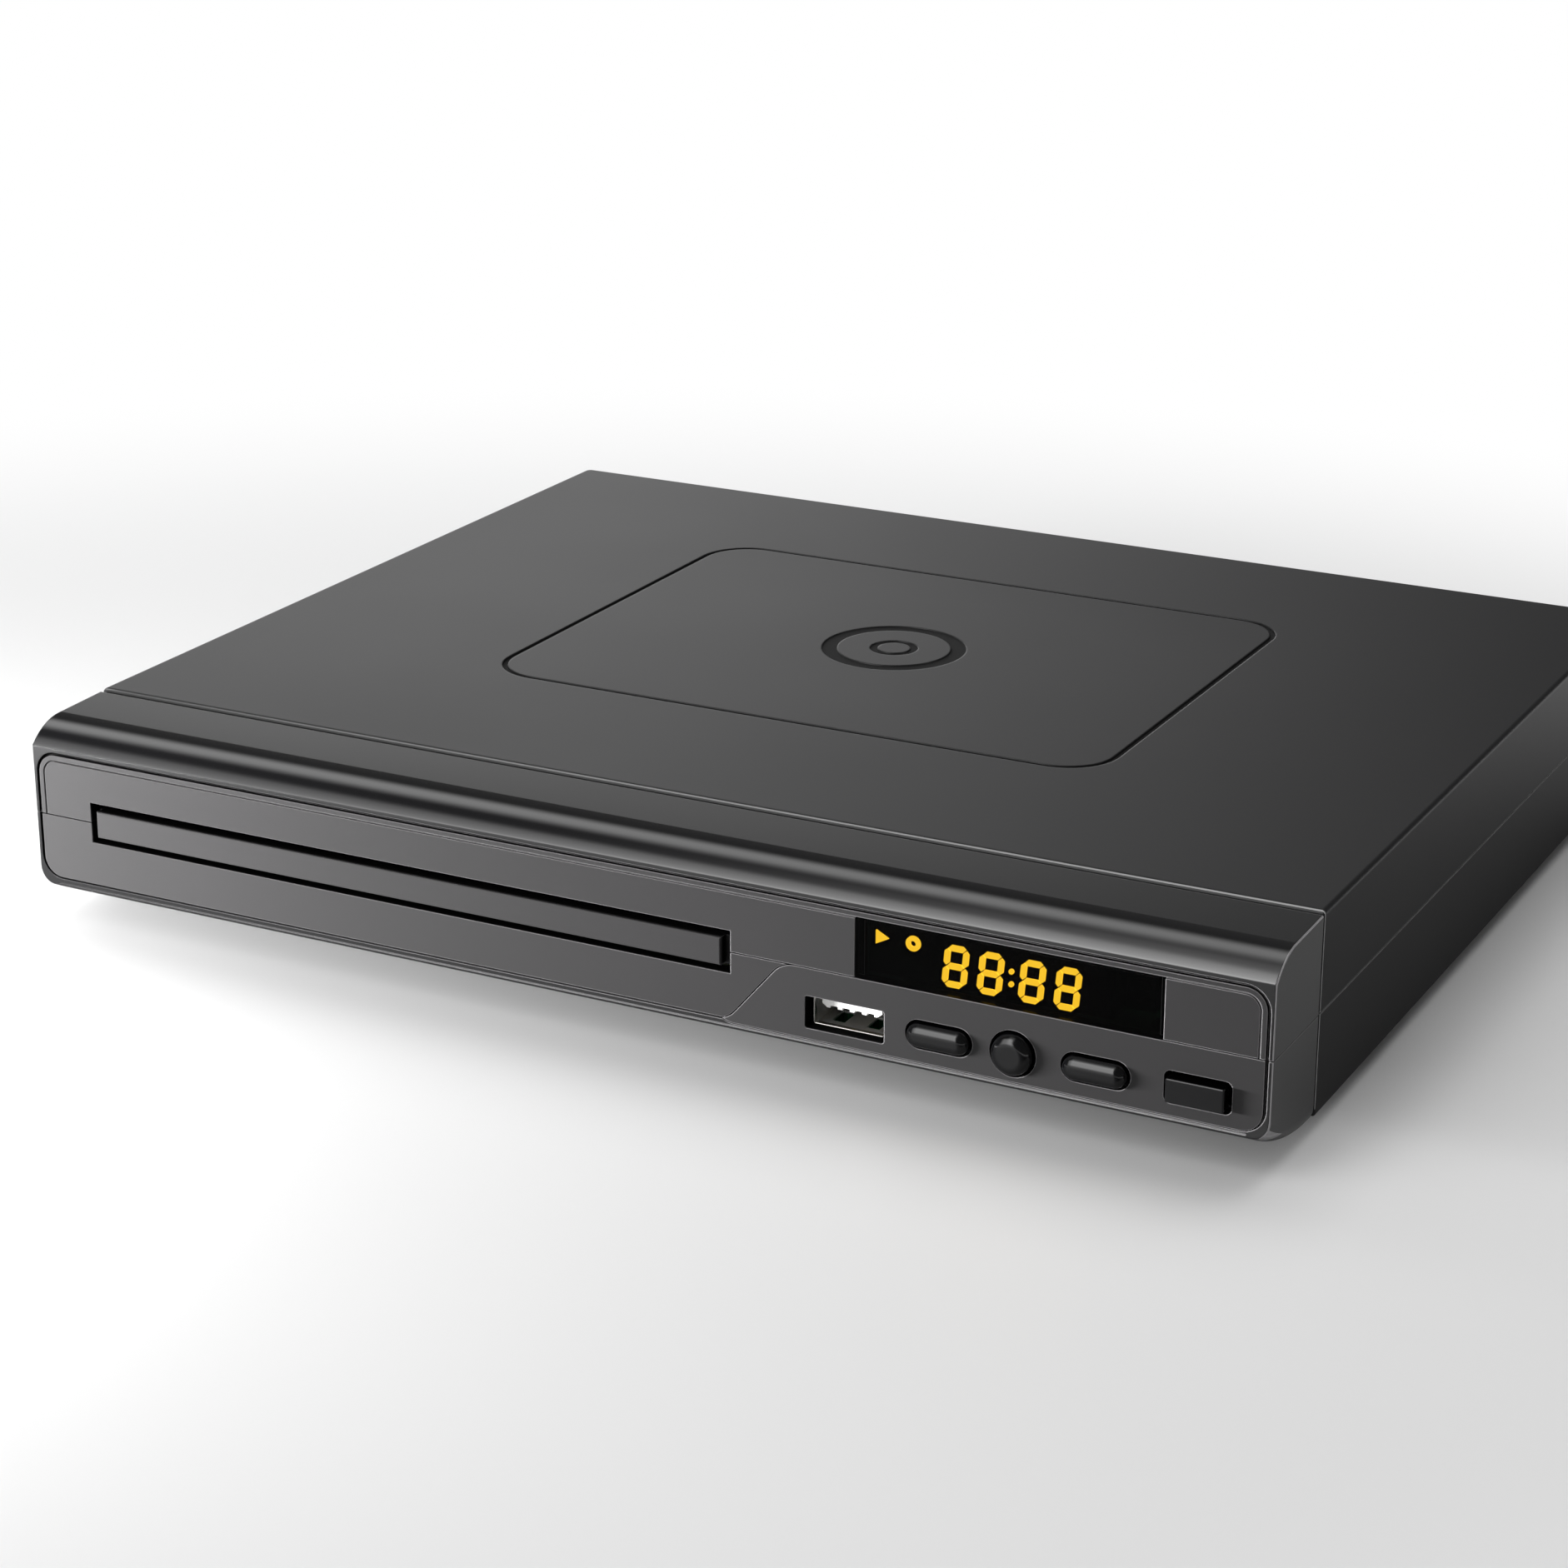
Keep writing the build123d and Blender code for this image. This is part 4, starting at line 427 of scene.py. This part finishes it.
def grow(name, tree, values, place):
    # runs a tree with these input values and puts the result in place
    maker = newObject(name + "Maker", bpy.data.meshes.new(name + "Maker"))
    modifier = maker.modifiers.new(name, "NODES")
    modifier.node_group = tree
    for socket in tree.interface.items_tree:
        if socket.in_out == "INPUT":
            modifier[socket.identifier] = values[socket.name]
    piece = settle(maker, name)
    piece.data.transform(Matrix.Translation(place))
    return piece


def gridTree():
    # copies one shape onto a flat grid of points, each turned a little about the upright axis
    tree, given = openTree("shapesOnGrid", {"Shape": "Object", "Columns": "Int", "Rows": "Int",
                                            "Width": "Float", "Length": "Float", "Loose Turn": "Float",
                                            "Seed": "Int", "Finish": "Material"})
    points = addNode(tree, "GeometryNodeMeshGrid",
                     links={"Size X": given["Width"], "Size Y": given["Length"], "Vertices X": given["Columns"],
                            "Vertices Y": given["Rows"]}).outputs["Mesh"]
    shape = addNode(tree, "GeometryNodeObjectInfo", links={"Object": given["Shape"]}).outputs["Geometry"]
    turn = addNode(tree, "FunctionNodeRandomValue", {"data_type": "FLOAT"},
                   links={3: given["Loose Turn"], "Seed": given["Seed"]}).outputs[1]
    spin = addNode(tree, "ShaderNodeCombineXYZ", links={"Z": turn}).outputs["Vector"]
    copies = addNode(tree, "GeometryNodeInstanceOnPoints",
                     links={"Points": points, "Instance": shape, "Rotation": spin}).outputs["Instances"]
    closeTree(tree, copies, given)
    return tree


def rimTree():
    # sweeps a flat strip round a rounded rectangle that stands upright
    tree, given = openTree("stripRoundOpening", {"Width": "Float", "Height": "Float", "Corner": "Float",
                                                 "Depth": "Float", "Thickness": "Float", "Finish": "Material"})
    path = addNode(tree, "GeometryNodeCurvePrimitiveQuadrilateral",
                   links={"Width": given["Width"], "Height": given["Height"]}).outputs["Curve"]
    soft = addNode(tree, "GeometryNodeFilletCurve", {"mode": "POLY"}, {"Count": 6},
                   {"Curve": path, "Radius": given["Corner"]}).outputs["Curve"]
    strip = addNode(tree, "GeometryNodeCurvePrimitiveQuadrilateral",
                    links={"Width": given["Thickness"], "Height": given["Depth"]}).outputs["Curve"]
    eased = addNode(tree, "GeometryNodeFilletCurve", {"mode": "POLY"}, {"Count": 4, "Radius": 0.12 * mm},
                    {"Curve": strip}).outputs["Curve"]
    swept = addNode(tree, "GeometryNodeCurveToMesh",
                    links={"Curve": soft, "Profile Curve": eased}).outputs["Mesh"]
    upright = addNode(tree, "GeometryNodeTransform", values={"Rotation": (math.radians(90), 0, 0)},
                      links={"Geometry": swept}).outputs["Geometry"]
    closeTree(tree, upright, given)
    return tree


shapesOnGrid = gridTree()
stripRoundOpening = rimTree()

# rubber feet: moulded with two grip rings round a hollow middle, pressed into the case's seats
foot = {"outline": [(0, -2.4), (2.0, -2.4), (2.5, -2.9), (2.7, -3.0), (4.1, -3.0), (4.3, -2.9), (4.5, -2.55),
                    (5.1, -2.55), (5.3, -2.9), (5.5, -3.0), (6.9, -3.0), (7.4, -2.85), (7.75, -2.5),
                    (7.9, -1.9), (7.9, 0.6), (0, 0.6)],
        "steps": 64, "spacing": (192.0, 130.66), "middle": 110.65}
footShape = newObject("footShape", lathe("footShape", foot["outline"], foot["steps"]))
rubberFeet = grow("rubberFeet", shapesOnGrid,
                  {"Shape": footShape, "Columns": 2, "Rows": 2, "Width": foot["spacing"][0] * mm,
                   "Length": foot["spacing"][1] * mm, "Loose Turn": 0.0, "Seed": 1,
                   "Finish": finish["nitrileRubber"]},
                  at(0, foot["middle"], 0))
bpy.data.objects.remove(footShape)
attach(rubberFeet, "housing")
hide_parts("feet")
print("feet made")

# case screws: pan heads with a cross recess, sunk in the case's underside;
# the crown's points are (share of the head's radius, mm above its lowest face)
screw = {"head": 2.2, "seat": 3.0, "thick": 1.6,
         "crown": [(0, 0), (0.5, 0), (0.75, 0.12), (0.92, 0.45), (1, 0.95)],
         "shank": 1.1, "tip": 24.4, "point": (0.3, 1), "steps": 40, "arm": 1.25, "slot": 0.32, "deep": 1.0,
         "below": 0.2, "taper": 0.55, "looseTurn": 1.5, "seed": 7, "spacing": (227.2, 160.0), "middle": 110.0}
underside = screw["seat"] - screw["thick"]
pointRadius, pointLength = screw["point"]
side = [(share * screw["head"], underside + above) for share, above in screw["crown"]]
side += [(screw["head"], screw["seat"]), (screw["shank"], screw["seat"]),
         (screw["shank"], screw["tip"] - pointLength), (pointRadius, screw["tip"]), (0, screw["tip"])]
screwShape = newObject("screwShape", lathe("screwShape", side, screw["steps"]))
arm, slot = screw["arm"], screw["slot"]
cross = [(arm, slot), (slot, slot), (slot, arm), (-slot, arm), (-slot, slot), (-arm, slot), (-arm, -slot),
         (-slot, -slot), (-slot, -arm), (slot, -arm), (slot, -slot), (arm, -slot)]
recess = newObject("crossRecess", prism("crossRecess", cross, underside - screw["below"],
                                        underside + screw["deep"], screw["taper"]))
cut = screwShape.modifiers.new("crossCut", "BOOLEAN")
cut.operation, cut.solver, cut.object = "DIFFERENCE", "EXACT", recess
screwShape = settle(screwShape, "screwCross")
bpy.data.objects.remove(recess)
crossScrews = grow("crossScrews", shapesOnGrid,
                   {"Shape": screwShape, "Columns": 2, "Rows": 2, "Width": screw["spacing"][0] * mm,
                    "Length": screw["spacing"][1] * mm, "Loose Turn": screw["looseTurn"],
                    "Seed": screw["seed"], "Finish": finish["blackZinc"]},
                   at(0, screw["middle"], 0))
bpy.data.objects.remove(screwShape)
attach(crossScrews, "housing")
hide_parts("case_screws")
print("screws made")

# socket on the front: white tongue notched over its contacts, sprung contacts, and the shell's bright rim
socket = {"middle": 45.7, "height": 10.5, "start": 2.7, "bore": (12.6, 5.2), "pitch": 2.25}
tongue = {"size": (11.1, 1.84), "top": 12.45, "root": 16.15, "setBack": 0.3, "corner": (0.9, 0.7),
          "notch": (1.3, 0.42), "soft": 0.08}
halfTongue, lowTongue = tongue["size"][0] / 2, tongue["top"] - tongue["size"][1]
halfNotch, notchTop = tongue["notch"][0] / 2, lowTongue + tongue["notch"][1]
cornerIn, cornerUp = tongue["corner"]
under = [(-halfTongue + cornerIn, lowTongue)]
for k in (-1.5, -0.5, 0.5, 1.5):
    middle = k * socket["pitch"]
    under += [(middle - halfNotch, lowTongue), (middle - halfNotch, notchTop), (middle + halfNotch, notchTop),
              (middle + halfNotch, lowTongue)]
under += [(halfTongue - cornerIn, lowTongue), (halfTongue, lowTongue + cornerUp), (halfTongue, tongue["top"]),
          (-halfTongue, tongue["top"]), (-halfTongue, lowTongue + cornerUp)]
blade = newObject("tongueMaker", prism("tongueMaker", under, -tongue["root"],
                                       -socket["start"] - tongue["setBack"]))
blade.data.transform(Matrix.Rotation(math.radians(90), 4, "X"))
blade.data.transform(Matrix.Translation(at(socket["middle"], 0, 0)))
blade.data.materials.append(finish["nylonWhite"])
soften = blade.modifiers.new("soften", "BEVEL")
soften.width, soften.segments = tongue["soft"] * mm, 2
socketTongue = settle(blade, "socketTongue")
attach(socketTongue, "housing")
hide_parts("usb_tongue")

contact = {"size": (1.0, 0.2, 7.0), "bow": [(2.6, 0.2), (1.3, 0.55), (0.5, 0.3), (0.1, 0.2)], "behind": 1.0}
wide, thin, run = contact["size"]
bent = [(0, 0), (run, 0), (run, thin)] + contact["bow"]
contactShape = newObject("contactShape", prism("contactShape", bent, -wide / 2, wide / 2))
# its length to the back, and its bow down
contactShape.data.transform(Matrix(((0, 0, 1, 0), (1, 0, 0, 0), (0, -1, 0, 0), (0, 0, 0, 1))))
sprungContacts = grow("sprungContacts", shapesOnGrid,
                      {"Shape": contactShape, "Columns": 4, "Rows": 1, "Width": 3 * socket["pitch"] * mm,
                       "Length": 0.0, "Loose Turn": 0.0, "Seed": 1, "Finish": finish["goldFlash"]},
                      at(socket["middle"], socket["start"] + contact["behind"], notchTop))
bpy.data.objects.remove(contactShape)
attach(sprungContacts, "housing")
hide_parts("usb_contacts")

rim = {"wider": 0.35, "corner": 0.4, "depth": 1.0, "thickness": 0.35, "before": 0.4}
socketRim = grow("socketRim", stripRoundOpening,
                 {"Width": (socket["bore"][0] + rim["wider"]) * mm, "Height": socket["bore"][1] * mm,
                  "Corner": rim["corner"] * mm, "Depth": rim["depth"] * mm,
                  "Thickness": rim["thickness"] * mm, "Finish": finish["nickelPlate"]},
                 at(socket["middle"], socket["start"] - rim["before"], socket["height"]))
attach(socketRim, "housing")
print("socket made")

# studio: white sweep, strip lights, softboxes and camera; a pair is where a soft change starts and ends
studio = {"floorSize": 16.0, "white": 0.78, "rough": 0.4, "shadowMiddle": (-0.02, -0.08, 0),
          "shadowEdge": (0.2, 0.45), "floorInGloss": 0.2, "darkestInGloss": 0.03, "darkestFromX": (0.05, 0.12),
          "darkestAhead": (0.015, 0.03), "roomLight": 0.09}


def whiteSweep(name):
    # white acrylic sheet: keeps the shadow near the object and runs out to plain white;
    # reflections on the object see the sheet near it painted darker, darkest to the right and ahead of the
    # front: painted shade in the reflections
    material, tree, place = newMaterial(name)
    away = addNode(tree, "ShaderNodeVectorMath", {"operation": "DISTANCE"}, {1: studio["shadowMiddle"]},
                   {0: place}).outputs["Value"]
    start, end = studio["shadowEdge"]
    far = addNode(tree, "ShaderNodeMapRange", {"interpolation_type": "SMOOTHSTEP"},
                  {"From Min": start, "From Max": end}, {"Value": away}).outputs["Result"]
    rays = addNode(tree, "ShaderNodeLightPath").outputs
    seen = rays["Is Camera Ray"]
    for kind in ("Is Transmission Ray", "Is Glossy Ray"):
        seen = addNode(tree, "ShaderNodeMath", {"operation": "MAXIMUM"},
                       links={0: seen, 1: rays[kind]}).outputs["Value"]
    amount = addNode(tree, "ShaderNodeMath", {"operation": "MULTIPLY"},
                     links={0: seen, 1: far}).outputs["Value"]
    parts = addNode(tree, "ShaderNodeSeparateXYZ", links={"Vector": place}).outputs
    start, end = studio["darkestFromX"]
    right = addNode(tree, "ShaderNodeMapRange", {"interpolation_type": "SMOOTHSTEP"},
                    {"From Min": start, "From Max": end}, {"Value": parts["X"]}).outputs["Result"]
    start, end = studio["darkestAhead"]
    ahead = addNode(tree, "ShaderNodeMapRange", {"interpolation_type": "SMOOTHSTEP"},
                    {"From Min": frontY - start, "From Max": frontY - end},
                    {"Value": parts["Y"]}).outputs["Result"]
    # painted shade in the reflections: the tone that glossy rays see, darkest right of and ahead of the front
    dark = addNode(tree, "ShaderNodeMath", {"operation": "MULTIPLY"},
                   links={0: right, 1: ahead}).outputs["Value"]
    glossTone = addNode(tree, "ShaderNodeMapRange",
                   values={"To Min": studio["floorInGloss"], "To Max": studio["darkestInGloss"]},
                   links={"Value": dark}).outputs["Result"]
    white = studio["white"]
    tone = addNode(tree, "ShaderNodeMix", {"data_type": "RGBA"}, {6: (white, white, white, 1)},
                   {"Factor": rays["Is Glossy Ray"], 7: glossTone}).outputs[2]
    sheet = addNode(tree, "ShaderNodeBsdfPrincipled",
                    values={"Roughness": studio["rough"], "Specular IOR Level": 0.5},
                    links={"Base Color": tone})
    plain = addNode(tree, "ShaderNodeEmission", values={"Color": (1, 1, 1, 1), "Strength": 1.0})
    mixed = addNode(tree, "ShaderNodeMixShader",
                    links={0: amount, 1: sheet.outputs["BSDF"], 2: plain.outputs["Emission"]})
    addNode(tree, "ShaderNodeOutputMaterial", links={"Surface": mixed.outputs["Shader"]})
    return material


bpy.ops.mesh.primitive_plane_add(size=studio["floorSize"])
floor = bpy.context.object
floor.name = "studioFloor"
floor.data.materials.append(whiteSweep("sweepWhite"))


def distanceFrom(tree, value, middle):
    # how far a value is from the middle, to either side
    apart = addNode(tree, "ShaderNodeMath", {"operation": "SUBTRACT"}, {1: middle}, {0: value}).outputs["Value"]
    return addNode(tree, "ShaderNodeMath", {"operation": "ABSOLUTE"}, links={0: apart}).outputs["Value"]


def stripGlow(tree, strip, rise, across):
    # brightest along the strip's angle, with a soft edge, and changing from one end to the other
    away = distanceFrom(tree, rise, math.radians(strip["angle"]))
    glow = addNode(tree, "ShaderNodeMapRange", {"interpolation_type": "SMOOTHSTEP"},
                   {"From Min": math.radians(strip["edge"]), "From Max": math.radians(strip["core"]),
                    "To Min": 0.0, "To Max": strip["power"]}, {"Value": away}).outputs["Result"]
    start, shareStart, end, shareEnd = strip["across"]
    share = addNode(tree, "ShaderNodeMapRange", {"interpolation_type": "SMOOTHSTEP"},
                    {"From Min": start, "From Max": end, "To Min": shareStart, "To Max": shareEnd},
                    {"Value": across}).outputs["Result"]
    lit = addNode(tree, "ShaderNodeMath", {"operation": "MULTIPLY"}, links={0: glow, 1: share}).outputs["Value"]
    if "reach" in strip:
        middle, half, soft = strip["reach"]
        inside = addNode(tree, "ShaderNodeMapRange", {"interpolation_type": "SMOOTHSTEP"},
                         {"From Min": half + soft, "From Max": half},
                         {"Value": distanceFrom(tree, across, middle)}).outputs["Result"]
        lit = addNode(tree, "ShaderNodeMath", {"operation": "MULTIPLY"},
                      links={0: lit, 1: inside}).outputs["Value"]
    return lit


world = bpy.data.worlds.new("studioRoom")
bpy.context.scene.world = world
world.use_nodes = True
room = world.node_tree
room.nodes.clear()
direction = addNode(room, "ShaderNodeTexCoord").outputs["Generated"]
axes = addNode(room, "ShaderNodeSeparateXYZ", links={"Vector": direction}).outputs
rise = addNode(room, "ShaderNodeMath", {"operation": "ARCTAN2"},
               links={0: axes["Z"], 1: axes["Y"]}).outputs["Value"]

# long strip lights that run across the room, by their angle above the back horizon in degrees;
# across = (x, share there, x, share there), and reach = (middle, half width, soft edge) where one is short
strips = {
    "lowBehind": {"angle": 5, "core": 6, "edge": 25, "power": 2.45, "across": (-0.6, 1.0, -0.2, 0.0)},
    "overhead": {"angle": 69, "core": 2, "edge": 20, "power": 1.65, "across": (-0.7, 0.9, -0.2, 0.75)},
    "lowFront": {"angle": 142, "core": 16, "edge": 44, "power": 3.9, "across": (-0.6, 0.55, -0.3, 1.0),
                 "reach": (-0.45, 0.2, 0.2)},
    "steepRight": {"angle": 108, "core": 6, "edge": 34, "power": 0.75, "across": (-0.5, 0.0, -0.3, 1.0),
                   "reach": (-0.25, 0.15, 0.2)},
}
glows = [stripGlow(room, strip, rise, axes["X"]) for strip in strips.values()]
total = addNode(room, "ShaderNodeMath", {"operation": "ADD"}, {1: studio["roomLight"]}, {0: glows[0]})
for glow in glows[1:]:
    total = addNode(room, "ShaderNodeMath", {"operation": "ADD"}, links={0: glow, 1: total.outputs["Value"]})
sky = addNode(room, "ShaderNodeBackground", links={"Strength": total.outputs["Value"]})
addNode(room, "ShaderNodeOutputWorld", links={"Surface": sky.outputs["Background"]})

# softboxes that light the floor and the front panel, but aren't seen themselves or in the gloss
softboxes = {
    "boxOverhead": {"place": (0.1, 0.5, 1.2), "aim": (0, 0, 0), "size": (1.0, 1.0), "power": 7},
    "boxPanelLeft": {"place": (-0.27, -0.26, 0.022), "aim": (-0.05, -0.1, 0.02), "size": (0.13, 0.034),
                     "power": 5.2},
}
for name, box in softboxes.items():
    lamp = bpy.data.lights.new(name, "AREA")
    lamp.shape = "RECTANGLE"
    lamp.size, lamp.size_y = box["size"]
    lamp.energy = box["power"]
    holder = newObject(name, lamp)
    holder.location = box["place"]
    holder.rotation_euler = (Vector(box["aim"]) - Vector(box["place"])).to_track_quat("-Z", "Y").to_euler()
    holder.visible_glossy = False
    holder.visible_camera = False

# place in metres from the case's lower front edge, angles in degrees, lens in mm
view = {"place": (0.29066, -0.49201, 0.25074), "turn": 27.502, "dip": 19.912, "roll": 0.082, "lens": 83.6}
cameraData = bpy.data.cameras.new("photoCamera")
cameraData.lens = view["lens"]
cameraData.sensor_width = 36
cameraData.clip_start = 0.01
camera = newObject("photoCamera", cameraData)
camera.location = Vector(view["place"]) + Vector((0, frontY, footZ))
turn, dip = math.radians(view["turn"]), math.radians(view["dip"])
looking = Vector((-math.sin(turn) * math.cos(dip), math.cos(turn) * math.cos(dip), -math.sin(dip)))
camera.rotation_euler = (looking.to_track_quat("-Z", "Y").to_matrix().to_4x4()
                         @ Matrix.Rotation(math.radians(view["roll"]), 4, "Z")).to_euler()
bpy.context.scene.camera = camera
bpy.context.scene.view_settings.view_transform = "Standard"
print("studio ready")
